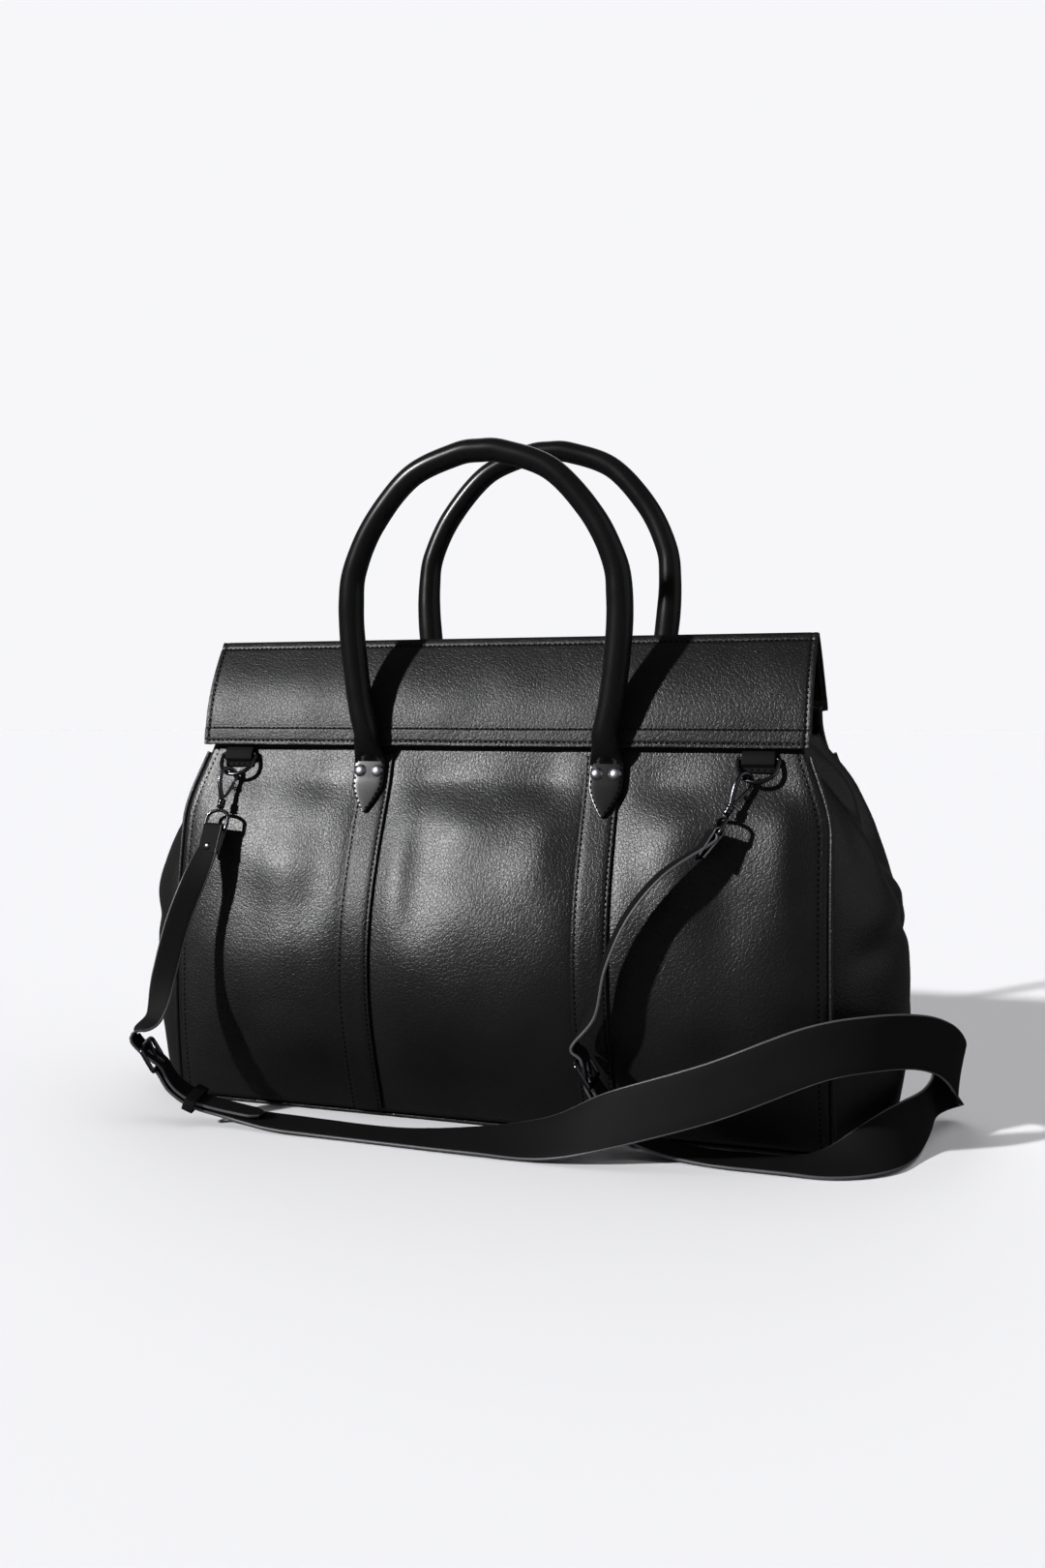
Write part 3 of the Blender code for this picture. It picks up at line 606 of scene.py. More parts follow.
def stitch_tree():
    """Rows of rounded stitches along edges that carry their surface's direction."""
    tree = Tree(node_group("stitch_rows", {
        "Pitch": ("NodeSocketFloat", 0.0038), "Length": ("NodeSocketFloat", 0.0027),
        "Width": ("NodeSocketFloat", 0.0009), "Seed": ("NodeSocketInt", 3),
        "Finish": ("NodeSocketMaterial", None)}))
    ask = tree.source.outputs
    line = tree.node("GeometryNodeMeshToCurve", {}, {0: ask["Geometry"]})
    even = tree.node("GeometryNodeResampleCurve", {"mode": "LENGTH"},
                     {0: line.outputs[0], "Length": ask["Pitch"]})
    face = tree.node("GeometryNodeInputNamedAttribute", {"data_type": "FLOAT_VECTOR"},
                     {"Name": "facing"})
    along = tree.node("GeometryNodeInputTangent")
    turn = tree.node("FunctionNodeAxesToRotation", {"primary_axis": "Z", "secondary_axis": "X"},
                     {"Primary Axis": face.outputs[0], "Secondary Axis": along.outputs[0]})
    vary = tree.node("FunctionNodeRandomValue", {"data_type": "FLOAT"},
                     {2: 0.92, 3: 1.08, "Seed": ask["Seed"]})
    ball = tree.node("GeometryNodeMeshUVSphere", {}, {"Segments": 6, "Rings": 4, "Radius": 0.5})
    size = tree.node("ShaderNodeCombineXYZ", {}, {
        0: tree.math("MULTIPLY", ask["Length"], vary.outputs[1]), 1: ask["Width"],
        2: ask["Width"]})
    bead = tree.node("GeometryNodeInstanceOnPoints", {}, {
        "Points": even.outputs[0], "Instance": ball.outputs[0], "Rotation": turn.outputs[0],
        "Scale": size.outputs[0]})
    tree.end(bead.outputs[0])
    return tree.tree


def tooth_tree():
    """Zip teeth along an edge: small blocks with rounded heads, a pitch apart."""
    tree = Tree(node_group("zip_teeth", {
        "Pitch": ("NodeSocketFloat", 0.0028), "Reach": ("NodeSocketFloat", 0.0022),
        "Thick": ("NodeSocketFloat", 0.0012), "Finish": ("NodeSocketMaterial", None)}))
    ask = tree.source.outputs
    line = tree.node("GeometryNodeMeshToCurve", {}, {0: ask["Geometry"]})
    even = tree.node("GeometryNodeResampleCurve", {"mode": "LENGTH"},
                     {0: line.outputs[0], "Length": ask["Pitch"]})
    block = tree.node("GeometryNodeMeshCylinder", {"fill_type": "NGON"},
                      {"Vertices": 8, "Radius": 0.5, "Depth": 1.0})
    size = tree.node("ShaderNodeCombineXYZ", {},
                     {0: ask["Thick"], 1: ask["Reach"], 2: ask["Reach"]})
    teeth = tree.node("GeometryNodeInstanceOnPoints", {}, {
        "Points": even.outputs[0], "Instance": block.outputs[0], "Scale": size.outputs[0]})
    tree.end(teeth.outputs[0])
    return tree.tree


def rivet_tree():
    """Domed rivets with a rim, one on each point that carries its surface's direction."""
    tree = Tree(node_group("domed_rivets", {
        "Radius": ("NodeSocketFloat", 0.0046), "Height": ("NodeSocketFloat", 0.0024),
        "Finish": ("NodeSocketMaterial", None)}))
    ask = tree.source.outputs
    face = tree.node("GeometryNodeInputNamedAttribute", {"data_type": "FLOAT_VECTOR"},
                     {"Name": "facing"})
    turn = tree.node("FunctionNodeAlignRotationToVector", {"axis": "Z"},
                     {"Vector": face.outputs[0]})
    dome = tree.node("GeometryNodeMeshUVSphere", {}, {"Segments": 28, "Rings": 14, "Radius": 1.0})
    rim = tree.node("GeometryNodeMeshCylinder", {"fill_type": "NGON"},
                    {"Vertices": 28, "Radius": 1.08, "Depth": 0.42})
    both = tree.node("GeometryNodeJoinGeometry", {}, {})
    tree.tree.links.new(rim.outputs[0], both.inputs[0])
    tree.tree.links.new(dome.outputs[0], both.inputs[0])
    size = tree.node("ShaderNodeCombineXYZ", {},
                     {0: ask["Radius"], 1: ask["Radius"], 2: ask["Height"]})
    made = tree.node("GeometryNodeInstanceOnPoints", {}, {
        "Points": ask["Geometry"], "Instance": both.outputs[0], "Rotation": turn.outputs[0],
        "Scale": size.outputs[0]})
    tree.end(made.outputs[0])
    return tree.tree


TREES = {}


def repeated(name, maker, rows, facing, finish, **sizes):
    """Runs a node tree over rows of points and keeps the result as a plain mesh."""
    if maker not in TREES:
        TREES[maker] = maker()
    tree = TREES[maker]
    data = bpy.data.meshes.new(name + "_guide")
    spots, edges, ways = [], [], []
    for row, way in zip(rows, facing):
        start = len(spots)
        spots += [tuple(map(float, p)) for p in row]
        edges += [(start + i, start + i + 1) for i in range(len(row) - 1)]
        ways.append(np.broadcast_to(way, (len(row), 3)))
    data.from_pydata(spots, edges, [])
    stored = data.attributes.new("facing", "FLOAT_VECTOR", "POINT")
    stored.data.foreach_set("vector", np.vstack(ways).astype(np.float32).ravel())
    guide = bpy.data.objects.new(name + "_guide", data)
    bpy.context.scene.collection.objects.link(guide)
    maker_on = guide.modifiers.new("repeat", "NODES")
    maker_on.node_group = tree
    keys = {item.name: item.identifier for item in tree.interface.items_tree
            if item.in_out == "INPUT"}
    maker_on[keys["Finish"]] = finish_of(finish)
    for label, value in sizes.items():
        maker_on[keys[label.capitalize()]] = value
    seen = guide.evaluated_get(bpy.context.evaluated_depsgraph_get())
    made = bpy.data.meshes.new_from_object(seen)
    made.name = name
    guide.modifiers.clear()
    bpy.data.objects.remove(guide, do_unlink=True)
    thing = bpy.data.objects.new(name, made)
    bpy.context.scene.collection.objects.link(thing)
    return thing


def on_surface(place, us, vs):
    """Points on a surface and its outward direction there; place(u, v) gives the face."""
    us, vs = np.broadcast_arrays(np.asarray(us, float), np.asarray(vs, float))
    step = 1e-3
    spots = place(us, vs)
    along_u = place(us + step, vs) - place(us - step, vs)
    along_v = place(us, vs + step) - place(us, vs - step)
    return spots, unit(np.cross(along_u, along_v))


STITCH_LIFT = 0.0002                        # how far a stitch's middle stands over the leather


class Seams:
    """Rows of stitches gathered from surfaces, each with its surface's outward direction."""

    def __init__(self):
        self.rows, self.ways = [], []

    def add(self, face, us, vs, lift=STITCH_LIFT):
        spots, out = on_surface(face, us, vs)
        self.rows.append(spots + out * lift)
        self.ways.append(out)

    def sew(self, name):
        look = bpy.context.scene.holdall_look
        return repeated(name, stitch_tree, self.rows, self.ways, "thread", pitch=look.stitch_pitch,
                        length=look.stitch_length, width=look.stitch_width)


# ---- the leather body's soft form ---------------------------------------------
BAND_LOW, BAND_HIGH = 0.0055, 0.2900
BAND_CLEAR = 0.0145                         # the panel swells this far from a band's middle
BACK_BAND_HIGH = 0.3150
BACK_LEATHER_TOP = 0.3285                   # the back leather ends under its flap
CORNER_STITCH_AT, BAND_STITCH_AT = 0.976, 0.81      # shares of the half width
WORD = {-1: "left", 1: "right"}


def band_middle(z):
    """How far out from the middle a front band runs at a height."""
    return BAND_X + BAND_SPREAD * (1 - (np.asarray(z, float) - BAND_LOW) / (BAND_HIGH - BAND_LOW))


# Where the leather swells or dents: middle x and z, reach along and up, height.
SWELLS = {
    2: [(-0.176, 0.206, 0.030, 0.030, 0.0034), (-0.215, 0.262, 0.022, 0.020, 0.0018),
        (-0.070, 0.196, 0.018, 0.042, 0.0040), (-0.010, 0.236, 0.030, 0.026, 0.0022),
        (-0.140, 0.170, 0.020, 0.035, -0.0018), (0.055, 0.230, 0.022, 0.028, 0.0020),
        (0.150, 0.222, 0.020, 0.030, 0.0024), (0.236, 0.215, 0.016, 0.040, 0.0034),
        (0.190, 0.190, 0.024, 0.060, -0.0026), (-0.200, 0.110, 0.030, 0.040, 0.0014)],
    5: [(-0.170, 0.190, 0.030, 0.035, 0.0030), (0.020, 0.210, 0.035, 0.030, 0.0026),
        (0.200, 0.180, 0.028, 0.040, 0.0030), (-0.030, 0.120, 0.040, 0.035, -0.0016)],
}


def stuffing(x, z, seed, look):
    """How far a stuffed panel stands over its plain form: full between its seams."""
    out = np.abs(x)
    near, far = band_middle(z) - BAND_CLEAR, band_middle(z) + BAND_CLEAR
    middle = np.sin(pi / 2 * np.clip(1 - out / near, 0, 1)) ** 0.7
    share = np.clip((out - far) / (panel_half(z) - 0.004 - far), 0, 1)
    ends = np.sin(pi * share) ** 0.75 * (1 - 0.28 * hump(share, 0.56, 0.16))
    fade = ease(z, 0.006, 0.055) * (1 - ease(z, 0.235, 0.288))
    off_bands = (ease(np.abs(out - band_middle(z)), BAND_CLEAR, 0.045)
                 * ease(panel_half(z) - out, 0.004, 0.03))
    spots = np.stack([x, np.zeros_like(x), z], -1)
    dents = (cloudy(spots * (1, 1, 0.8), 0.095, seed) * 0.0030
             + cloudy(spots, 0.042, seed + 1) * 0.0011)
    sag = -0.0016 * hump(z, 0.268, 0.016) * np.sin(out * 34) ** 2
    for at_x, at_z, wide, high, far_out in SWELLS[seed]:
        dents = dents + far_out * hump(x, at_x, wide) * hump(z, at_z, high)
    return look.softness * (0.0052 * (middle + ends) * fade
                            + (dents * (0.35 + 0.65 * fade) + sag) * off_bands)


def seam_dip(x, z):
    """The leather draws in beside its piped edges."""
    return -0.0012 * hump(panel_half(z) - np.abs(x), 0.0050, 0.0016)


def front_form(x, z, look):
    return face_y(x, z) + stuffing(x, z, 2, look) + seam_dip(x, z)


def back_form(x, z, look):
    return face_y(x, z) + stuffing(x, z, 5, look) + seam_dip(x, z)


class HOLDALL_OT_panels(bpy.types.Operator):
    """Makes the stuffed front and back leather, their bands and the seams' stitches"""
    bl_idname = "holdall.panels"
    bl_label = "Panels and Bands"

    def execute(self, context):
        look = context.scene.holdall_look
        for side, form in ((FRONT, front_form), (BACK, back_form)):
            self.panel(side, form, look)
        return {"FINISHED"}

    def panel(self, side, form, look):
        word = "front" if side == FRONT else "back"
        nodes = ["front_panel"] if side == FRONT else ["back_panel_lower", "back_panel_upper"]

        def face(u, z):
            x = u * (panel_half(z) - GAP)
            lean = u * ease(np.abs(u), 0.55, 1.0) * drawn_in(z)
            return np.stack([-side * (x - lean), side * form(x, z, look), z], -1)

        def wear(u, z):
            return ease(np.abs(u), 0.97, 1) * 0.7 + (1 - ease(z, 0.006, 0.02)) * 0.5
        us = packed(-1, 1, 150, -0.40, -0.31, 0.31, 0.40, width=0.03)
        top = PANEL_TOP_Z if side == FRONT else BACK_LEATHER_TOP
        vs = packed(PANEL_FOOT_Z, top, 96)
        whole = sheet(word + "_leather", us, vs, face, LEATHER, "bag_leather", wear=wear)
        self.place(whole, side, *nodes)
        seams = Seams()
        for u in (-CORNER_STITCH_AT, CORNER_STITCH_AT):
            seams.add(face, u, np.linspace(0.010, 0.292, 120))
        for side_x in (-1, 1):
            made = self.band(f"{word}_band_{WORD[side_x]}", side, side_x, seams)
            nodes = [f"band_{word}_{WORD[side_x]}"]
            if side == BACK:
                nodes.append("band_back_top_" + WORD[side_x])
            self.place(made, side, *nodes)
        self.place(seams.sew(word + "_stitches"), side, slot="strap_leather")

    def place(self, thing, side, *nodes, slot="bag_leather"):
        if side == FRONT:
            ride(thing, "root", slot, *nodes)
            return
        if nodes:
            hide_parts(*nodes)
        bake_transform(thing)

    def band(self, name, side, side_x, seams):
        high = BAND_HIGH if side == FRONT else BACK_BAND_HIGH

        def face(u, z):
            middle = band_middle(z) if side == FRONT else BAND_X
            x = side_x * middle - side * u * BAND_WIDTH / 2
            swell = 0.0006 * (1 - u ** 4) - 0.0004 * hump(np.abs(u), BAND_STITCH_AT, 0.05)
            return np.stack([x, side * (face_y(x, z) + 2 * GAP + BAND_THICK + swell), z], -1)
        half = np.array([0.2, 0.45, 0.7, 0.78, BAND_STITCH_AT, 0.84, 0.90, 0.96, 1.0])
        us = np.concatenate([-half[::-1], half])
        made = sheet(name, us, np.linspace(BAND_LOW, high, 90), face, BAND_THICK, "flap_leather",
                     wear=lambda u, z: ease(np.abs(u), 0.9, 1) * 0.9, edge=0.0005)
        for u in (-BAND_STITCH_AT, BAND_STITCH_AT):
            seams.add(face, u, np.linspace(BAND_LOW + 0.002, high - 0.002, 110))
        return made


def end_form(side, across, z, look):
    """The soft end: bellied low down, folded in along its middle towards the mouth."""
    full = GUSSET_BULGE[side]
    heights = [0, 0.02, 0.07, 0.13, 0.178, 0.21, 0.24, 0.275, GUSSET_TOP_Z]
    shares = [0.70, 0.80, 0.96, 1.00, 1.00, 0.74, 0.44, 0.22, -0.012 / full]
    fine = np.linspace(0, GUSSET_TOP_Z, 60)
    rounded = np.convolve(np.pad(np.interp(fine, heights, shares), 2, "edge"), np.ones(5) / 5,
                          "valid")
    bulge = full * np.interp(z, fine, rounded)
    swell = np.clip(np.cos(across * pi / 2), 0, 1) ** GUSSET_ROUND[side]
    x = panel_half(z) - 0.004 - drawn_in(z) + (bulge + 0.004 + 0.3 * drawn_in(z)) * swell
    upper = ease(z, 0.165, 0.245)
    valley = -0.024 * hump(across, 0.05, 0.26) * upper
    ridges = 0.004 * (hump(across, 0.50, 0.13) + hump(across, -0.46, 0.13)) * upper
    slant = across + (z - 0.19) * 7.0
    folds = (-0.0045 * hump(slant, -0.10, 0.10) + 0.0030 * hump(slant, 0.16, 0.11)
             - 0.0035 * hump(across - (z - 0.15) * 5.0, 0.30, 0.09)) * ease(z, 0.09, 0.15)
    knee = -0.0045 * hump(z - 0.030 * across, 0.168, 0.013) * swell
    spots = np.stack([np.full_like(z, side * 1.0), across * 0.09, z], -1)
    dents = (cloudy(spots * (1, 1, 0.6), 0.060, 8 + side) * 0.0026
             + cloudy(spots, 0.026, 11) * 0.0005)
    fade = ease(1 - np.abs(across), 0.0, 0.22)
    loose = valley + ridges + (folds + knee + dents) * ease(z, 0.01, 0.05)
    return x + look.softness * fade * loose


class HOLDALL_OT_ends(bpy.types.Operator):
    """Makes the two soft ends and the piped seams round them"""
    bl_idname = "holdall.ends"
    bl_label = "Ends and Piping"

    def execute(self, context):
        look = context.scene.holdall_look
        for side in (-1, 1):
            def face(u, z, side=side):
                reach = half_depth(z) - LEATHER - 0.0016
                across = u * side
                return np.stack([side * end_form(side, across, z, look), across * reach, z], -1)
            us = np.sin(np.linspace(-1, 1, 90) * pi / 2)
            vs = np.linspace(PANEL_FOOT_Z, GUSSET_TOP_Z, 110)
            made = sheet("end_" + WORD[side], us, vs, face, LEATHER, "bag_leather",
                         wear=lambda u, z: 1 - ease(z, 0.006, 0.02))
            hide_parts("gusset_" + WORD[side])
            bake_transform(made)
            for way, word in ((FRONT, "front"), (BACK, "back")):
                zs = np.linspace(0.006, 0.290, 60)
                points = np.stack([side * (panel_half(zs) + 0.0021 + 2 * GAP - drawn_in(zs)),
                                   way * (half_depth(zs) - 0.0021), zs], -1)
                cord = wire(f"{word}_piping_{WORD[side]}", points, 0.0021, "bag_leather", sides=12,
                            count=80)
                if way == FRONT:
                    ride(cord, "root", "bag_leather", f"piping_{word}_{WORD[side]}")
                else:
                    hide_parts(f"piping_{word}_{WORD[side]}")
                    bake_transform(cord)
        return {"FINISHED"}


def flap_form(side, u, v):
    """Outer face of a flap; u runs along it from -1 to 1 and v up from its hem."""
    hem_y, hem_z = HEMS[side]
    if side == FRONT:
        y = hem_y + (RIDGE_Y - 0.004 - hem_y) * v - 0.0065 * np.sin(pi * v)
        z = hem_z + (RIDGE_Z - hem_z) * v
        half = RIDGE_HALF + 0 * v
    else:
        y = hem_y + (RIDGE_Y + 0.004 - hem_y) * v
        z = hem_z + (RIDGE_Z - hem_z) * v + 0.004 * np.sin(pi * v)
        half = BACK_FLAP_HALF + (RIDGE_HALF - BACK_FLAP_HALF) * v
    return -side * u * half, y, z


FLAP_LONG = {FRONT: 0.0925, BACK: 0.116}            # from hem to ridge, along the leather
HEM_SEAMS, RIDGE_SEAM = (0.0035, 0.0150), 0.0060    # from the hem, and from the ridge
FLAP_STITCH_AT = 0.984                              # end seams, as a share of the half length
FLAP_FACES = {FRONT: (0.0855, 0.0325), BACK: (0.056, 0.106)}    # outward and up


class HOLDALL_OT_flaps(bpy.types.Operator):
    """Makes the two flaps that meet at the mouth, with their turned and stitched hems"""
    bl_idname = "holdall.flaps"
    bl_label = "Flaps"

    def execute(self, context):
        look = context.scene.holdall_look
        for side, body, word in ((FRONT, "root", "front"), (BACK, "mouth_back", "back")):
            long = FLAP_LONG[side]
            rows = [inset / long for inset in HEM_SEAMS] + [1 - RIDGE_SEAM / long]

            def face(u, v, side=side, long=long, rows=rows):
                x, y, z = flap_form(side, u, v)
                out = unit(FLAP_FACES[side])
                past_hem = ease(v, rows[1] + 0.0006 / long, rows[1] + 0.0016 / long)
                lift = 0.0009 * (1 - past_hem)
                for row, deep in zip(rows, (0.0004, 0.0009, 0.0006)):
                    lift = lift - deep * hump(v * long, row * long, 0.0010)
                lift = lift - 0.0005 * hump((1 - np.abs(u)) * RIDGE_HALF, 0.004, 0.0010)
                spots = np.stack([x, y, z], -1)
                waves = (cloudy(spots * (1, 1, 0.6), 0.085, 21 + side) * 0.0016
                         + cloudy(spots, 0.035, 23) * 0.0005)
                lift = lift + look.softness * waves * np.sin(pi * np.clip(v, 0, 1)) ** 0.6
                return np.stack([x, y + side * lift * out[0], z + lift * out[1]], -1)

            def wear(u, v):
                hem_and_ridge = np.maximum(ease(v, 0.95, 1), 1 - ease(v, 0.0, 0.03))
                return hem_and_ridge * 0.8 + ease(np.abs(u), 0.985, 1) * 0.5
            vs = packed(0, 1, 34, *rows, width=0.08, extra=9)
            us = packed(-1, 1, 170, -FLAP_STITCH_AT, FLAP_STITCH_AT, width=0.012, extra=7)
            made = sheet("flap_" + word + "_leather", us, vs, face, FLAP_LEATHER, "flap_leather",
                         wear=wear, edge=0.0009)
            ride(made, body, "bag_leather", "flap_" + word)
            seams = Seams()
            for v in rows:
                seams.add(face, np.linspace(-0.982, 0.982, 260), v)
            for u in (-FLAP_STITCH_AT, FLAP_STITCH_AT):
                seams.add(face, u, np.linspace(0.04, 0.93, 60))
            ride(seams.sew("flap_" + word + "_stitches"), body, "strap_leather")
        return {"FINISHED"}


# ---- handles -------------------------------------------------------------------
HANDLE_PEAK_Z, HANDLE_PEAK_Y, HANDLE_OUT = 0.5220, 0.0850, 0.0080
HANDLE_HALF = (0.0101, 0.0096)              # half width and half depth at its legs
# From the flat tab to the round leg: z, share of the way out, half sizes and squareness.
HANDLE_THROAT = [
    (0.2868, 0.12, 0.0131, 0.0022, 4.0), (0.2893, 0.30, 0.0124, 0.0036, 3.0),
    (0.2925, 0.55, 0.0116, 0.0050, 2.5), (0.2965, 0.78, 0.0109, 0.0064, 2.3),
    (0.3015, 0.94, 0.0104, 0.0078, 2.15), (0.3080, 1.0, 0.0102, 0.0090, 2.1)]
HANDLE_ARCH = [(0.0985, 0.000, 0.00), (0.1035, 0.12, 0.0), (0.1090, 0.33, 0.15),
               (0.1098, 0.48, 0.35), (0.1060, 0.60, 0.50), (0.0890, 0.76, 0.70),
               (0.0575, 0.92, 0.90), (0.0200, 0.99, 0.99), (0.0, 1.0, 1.0)]
LEAF_TOP = 0.2840


def leaf_half(z):
    """Half width of a handle's leaf-shaped tab at a height over the front tabs."""
    share = np.clip((z - TAB_TIP_Z) / (TAB_TOP_Z - TAB_TIP_Z), 0, 1)
    widening = np.sin(np.minimum(1, share * 1.9) * pi / 2) ** 0.85
    return TAB_WIDTH / 2 * np.minimum(1, 0.05 + 1.05 * widening)


def leaf_under(z, rise):
    """Where a tab's back rests, over the band."""
    return face_y(TAB_X, z + rise) + BAND_THICK + 0.0015


class HOLDALL_OT_handles(bpy.types.Operator):
    """Makes the two rolled handles with their leaf-shaped tabs, rivets and stitches"""
    bl_idname = "holdall.handles"
    bl_label = "Handles"

    def execute(self, context):
        for side, word, rise, body in ((FRONT, "front", 0.0, "root"),
                                       (BACK, "back", BACK_TAB_RISE, "mouth_back")):
            made = self.handle(word, side, rise)
            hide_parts("handle_" + word, f"tab_{word}_left", f"tab_{word}_right")
            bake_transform(made)
            self.trim(word, side, rise, body)
        return {"FINISHED"}

    def handle(self, word, side, rise):
        hem_y = abs(HEMS[side][0])
        foot_y = hem_y + HANDLE_OUT
        foot_z = TAB_TOP_Z + rise + 0.0015
        climb = HANDLE_PEAK_Z + rise - foot_z
        arch, leaf = [], []
        for x, up, lean in HANDLE_ARCH[1:]:
            z = foot_z + climb * up
            thin = ease(z, 0.40, 0.47) * 0.0012
            arch.append((x, foot_y + (HANDLE_PEAK_Y - foot_y) * lean, z,
                         HANDLE_HALF[0] - thin, HANDLE_HALF[1] - thin * 0.9, 2.1))
        for z in np.concatenate([TAB_TIP_Z + 0.0006 + 0.012 * np.linspace(0, 1, 12) ** 1.6,
                                 np.linspace(0.2575, LEAF_TOP, 12)[1:]]):
            y = leaf_under(z, rise) + 0.0015
            leaf.append((TAB_X, y, z + rise, leaf_half(z), 0.0015, 5.0))
        top_y = leaf[-1][1]
        throat = [(TAB_X + 0.0004 * share, top_y + (foot_y - top_y) * share, z + rise, *section)
                  for z, share, *section in HANDLE_THROAT]
        half = np.array(leaf + throat + arch)
        half[:, 1] *= side
        other = half[::-1].copy()
        half[:, 0] *= -1
        whole = np.vstack([half[:-1], other])
        cut = len(leaf) + len(throat)
        middle = smooth(whole[cut - 2:len(whole) - cut + 2], 150)
        rows = np.vstack([whole[:cut - 2], middle, whole[len(whole) - cut + 2:]])
        creases = 1 + 0.016 * cloudy(rows[:, :3] * (1, 1, 1.6), 0.022, 31) * (rows[:, 4] > 0.006)
        _, across, up = frames_along(rows[:, :3], (0, side, 0))
        return loft("handle_" + word + "_leather", rows[:, :3], across, up, rows[:, 3] * creases,
                    rows[:, 4] * creases, "handle_leather", square=rows[:, 5], sides=28)

    def trim(self, word, side, rise, body):
        spots, facing, seams = [], [], Seams()
        for side_x in (-1, 1):
            x = side_x * TAB_X

            def face(u, z, x=x):
                y = leaf_under(z, rise) + 0.0030
                return np.stack([x - side * u, side * y, z + rise], -1)
            heights = np.linspace(TAB_TIP_Z + 0.0042, 0.2835, 26)
            wide = leaf_half(heights) - 0.0022
            seams.add(face, np.concatenate([-wide[::-1], wide]),
                      np.concatenate([heights[::-1], heights]), lift=0.0001)
            for step in (-1, 1):
                there, out = on_surface(face, step * RIVET_SPREAD, np.array([RIVET_Z]))
                spots.append(there[0] - out[0] * 0.0001)
                facing.append(out[0])
        ride(seams.sew(f"tab_{word}_stitches"), body, "strap_leather")
        heads = repeated(f"rivets_{word}", rivet_tree, [np.array([p]) for p in spots],
                         facing, "metal_with_painted_reflection", radius=RIVET_R, height=RIVET_HIGH)
        nodes = [f"rivet_{word}_{WORD[side_x]}_{letter}" for side_x in (-1, 1) for letter in "ab"]
        ride(heads, body, "black_nickel", *nodes)


# ---- rings, hooks and the shoulder strap ---------------------------------------------
RING_X = {-1: 0.2180, 1: 0.2120}
RING_WIRE, RING_BAR_Z, RING_HALF, RING_DROP = 0.0017, 0.2885, 0.0147, 0.0205
RING_SIDE, RING_ROUND, RING_TILT = 0.0055, 1.02, radians(38)
RING_TAB_HALF, RING_TAB_THICK = 0.01225, 0.0014
RING_TAB_LIFT = [(0.2790, 0.0), (0.2822, 0.0002), (0.2850, 0.0036), (0.2885, 0.0040),
                 (0.2920, 0.0031), (0.2960, 0.0005), (0.3010, 0.0), (0.3080, 0.0)]
STRAP_WIDTH, STRAP_END_WIDTH, STRAP_THICK = 0.040, 0.0205, 0.0024
BILLET_WIDTH, BILLET_THICK, BILLET_LIFT = 0.0195, 0.0022, 0.0042
BUCKLE_WIRE, BUCKLE_HALF, BUCKLE_LONG = 0.00175, 0.0135, 0.020
HOOK_WIRE, HOOK_BEND, HOOK_PLAY, HOOK_LONG = 0.0018, 0.0065, 0.0010, 0.0345
EYE_HALF, EYE_DROP, EYE_WIRE = 0.0108, 0.0150, 0.0015
STRAP_STEPS, KEEPER_STEP = 120, 4
KEEPER_SIZE = (0.0145, 0.00545, 0.0045, 0.00065)    # half width, height, length and thickness
FOLD_TAIL = 0.020
# Turned parts: radius and height pairs.
STUD = [(0.0, -0.0006), (0.0033, -0.0006), (0.0035, 0.0002), (0.0031, 0.0009), (0.0020, 0.0014),
        (0.0, 0.0016)]
BARREL = [(0.0012, 0.0), (0.0030, 0.0005), (0.0034, 0.0012), (0.0030, 0.0018), (0.0030, 0.0030),
          (0.0034, 0.0036), (0.0034, 0.0044), (0.0029, 0.0050), (0.0029, 0.0064),
          (0.0033, 0.0070), (0.0030, 0.0080), (0.0012, 0.0083)]
KNOB = [(0.0, 0.0), (0.0011, 0.0), (0.0010, 0.0022), (0.0019, 0.0028), (0.0019, 0.0037),
        (0.0012, 0.0042), (0.0, 0.0043)]
STEM = [(0.0010, -0.0003), (0.0021, 0.0), (0.0024, 0.0008), (0.0021, 0.0018), (0.0012, 0.0024)]
STRAP_NARROW, STRAP_FLARE = 0.050, 0.060
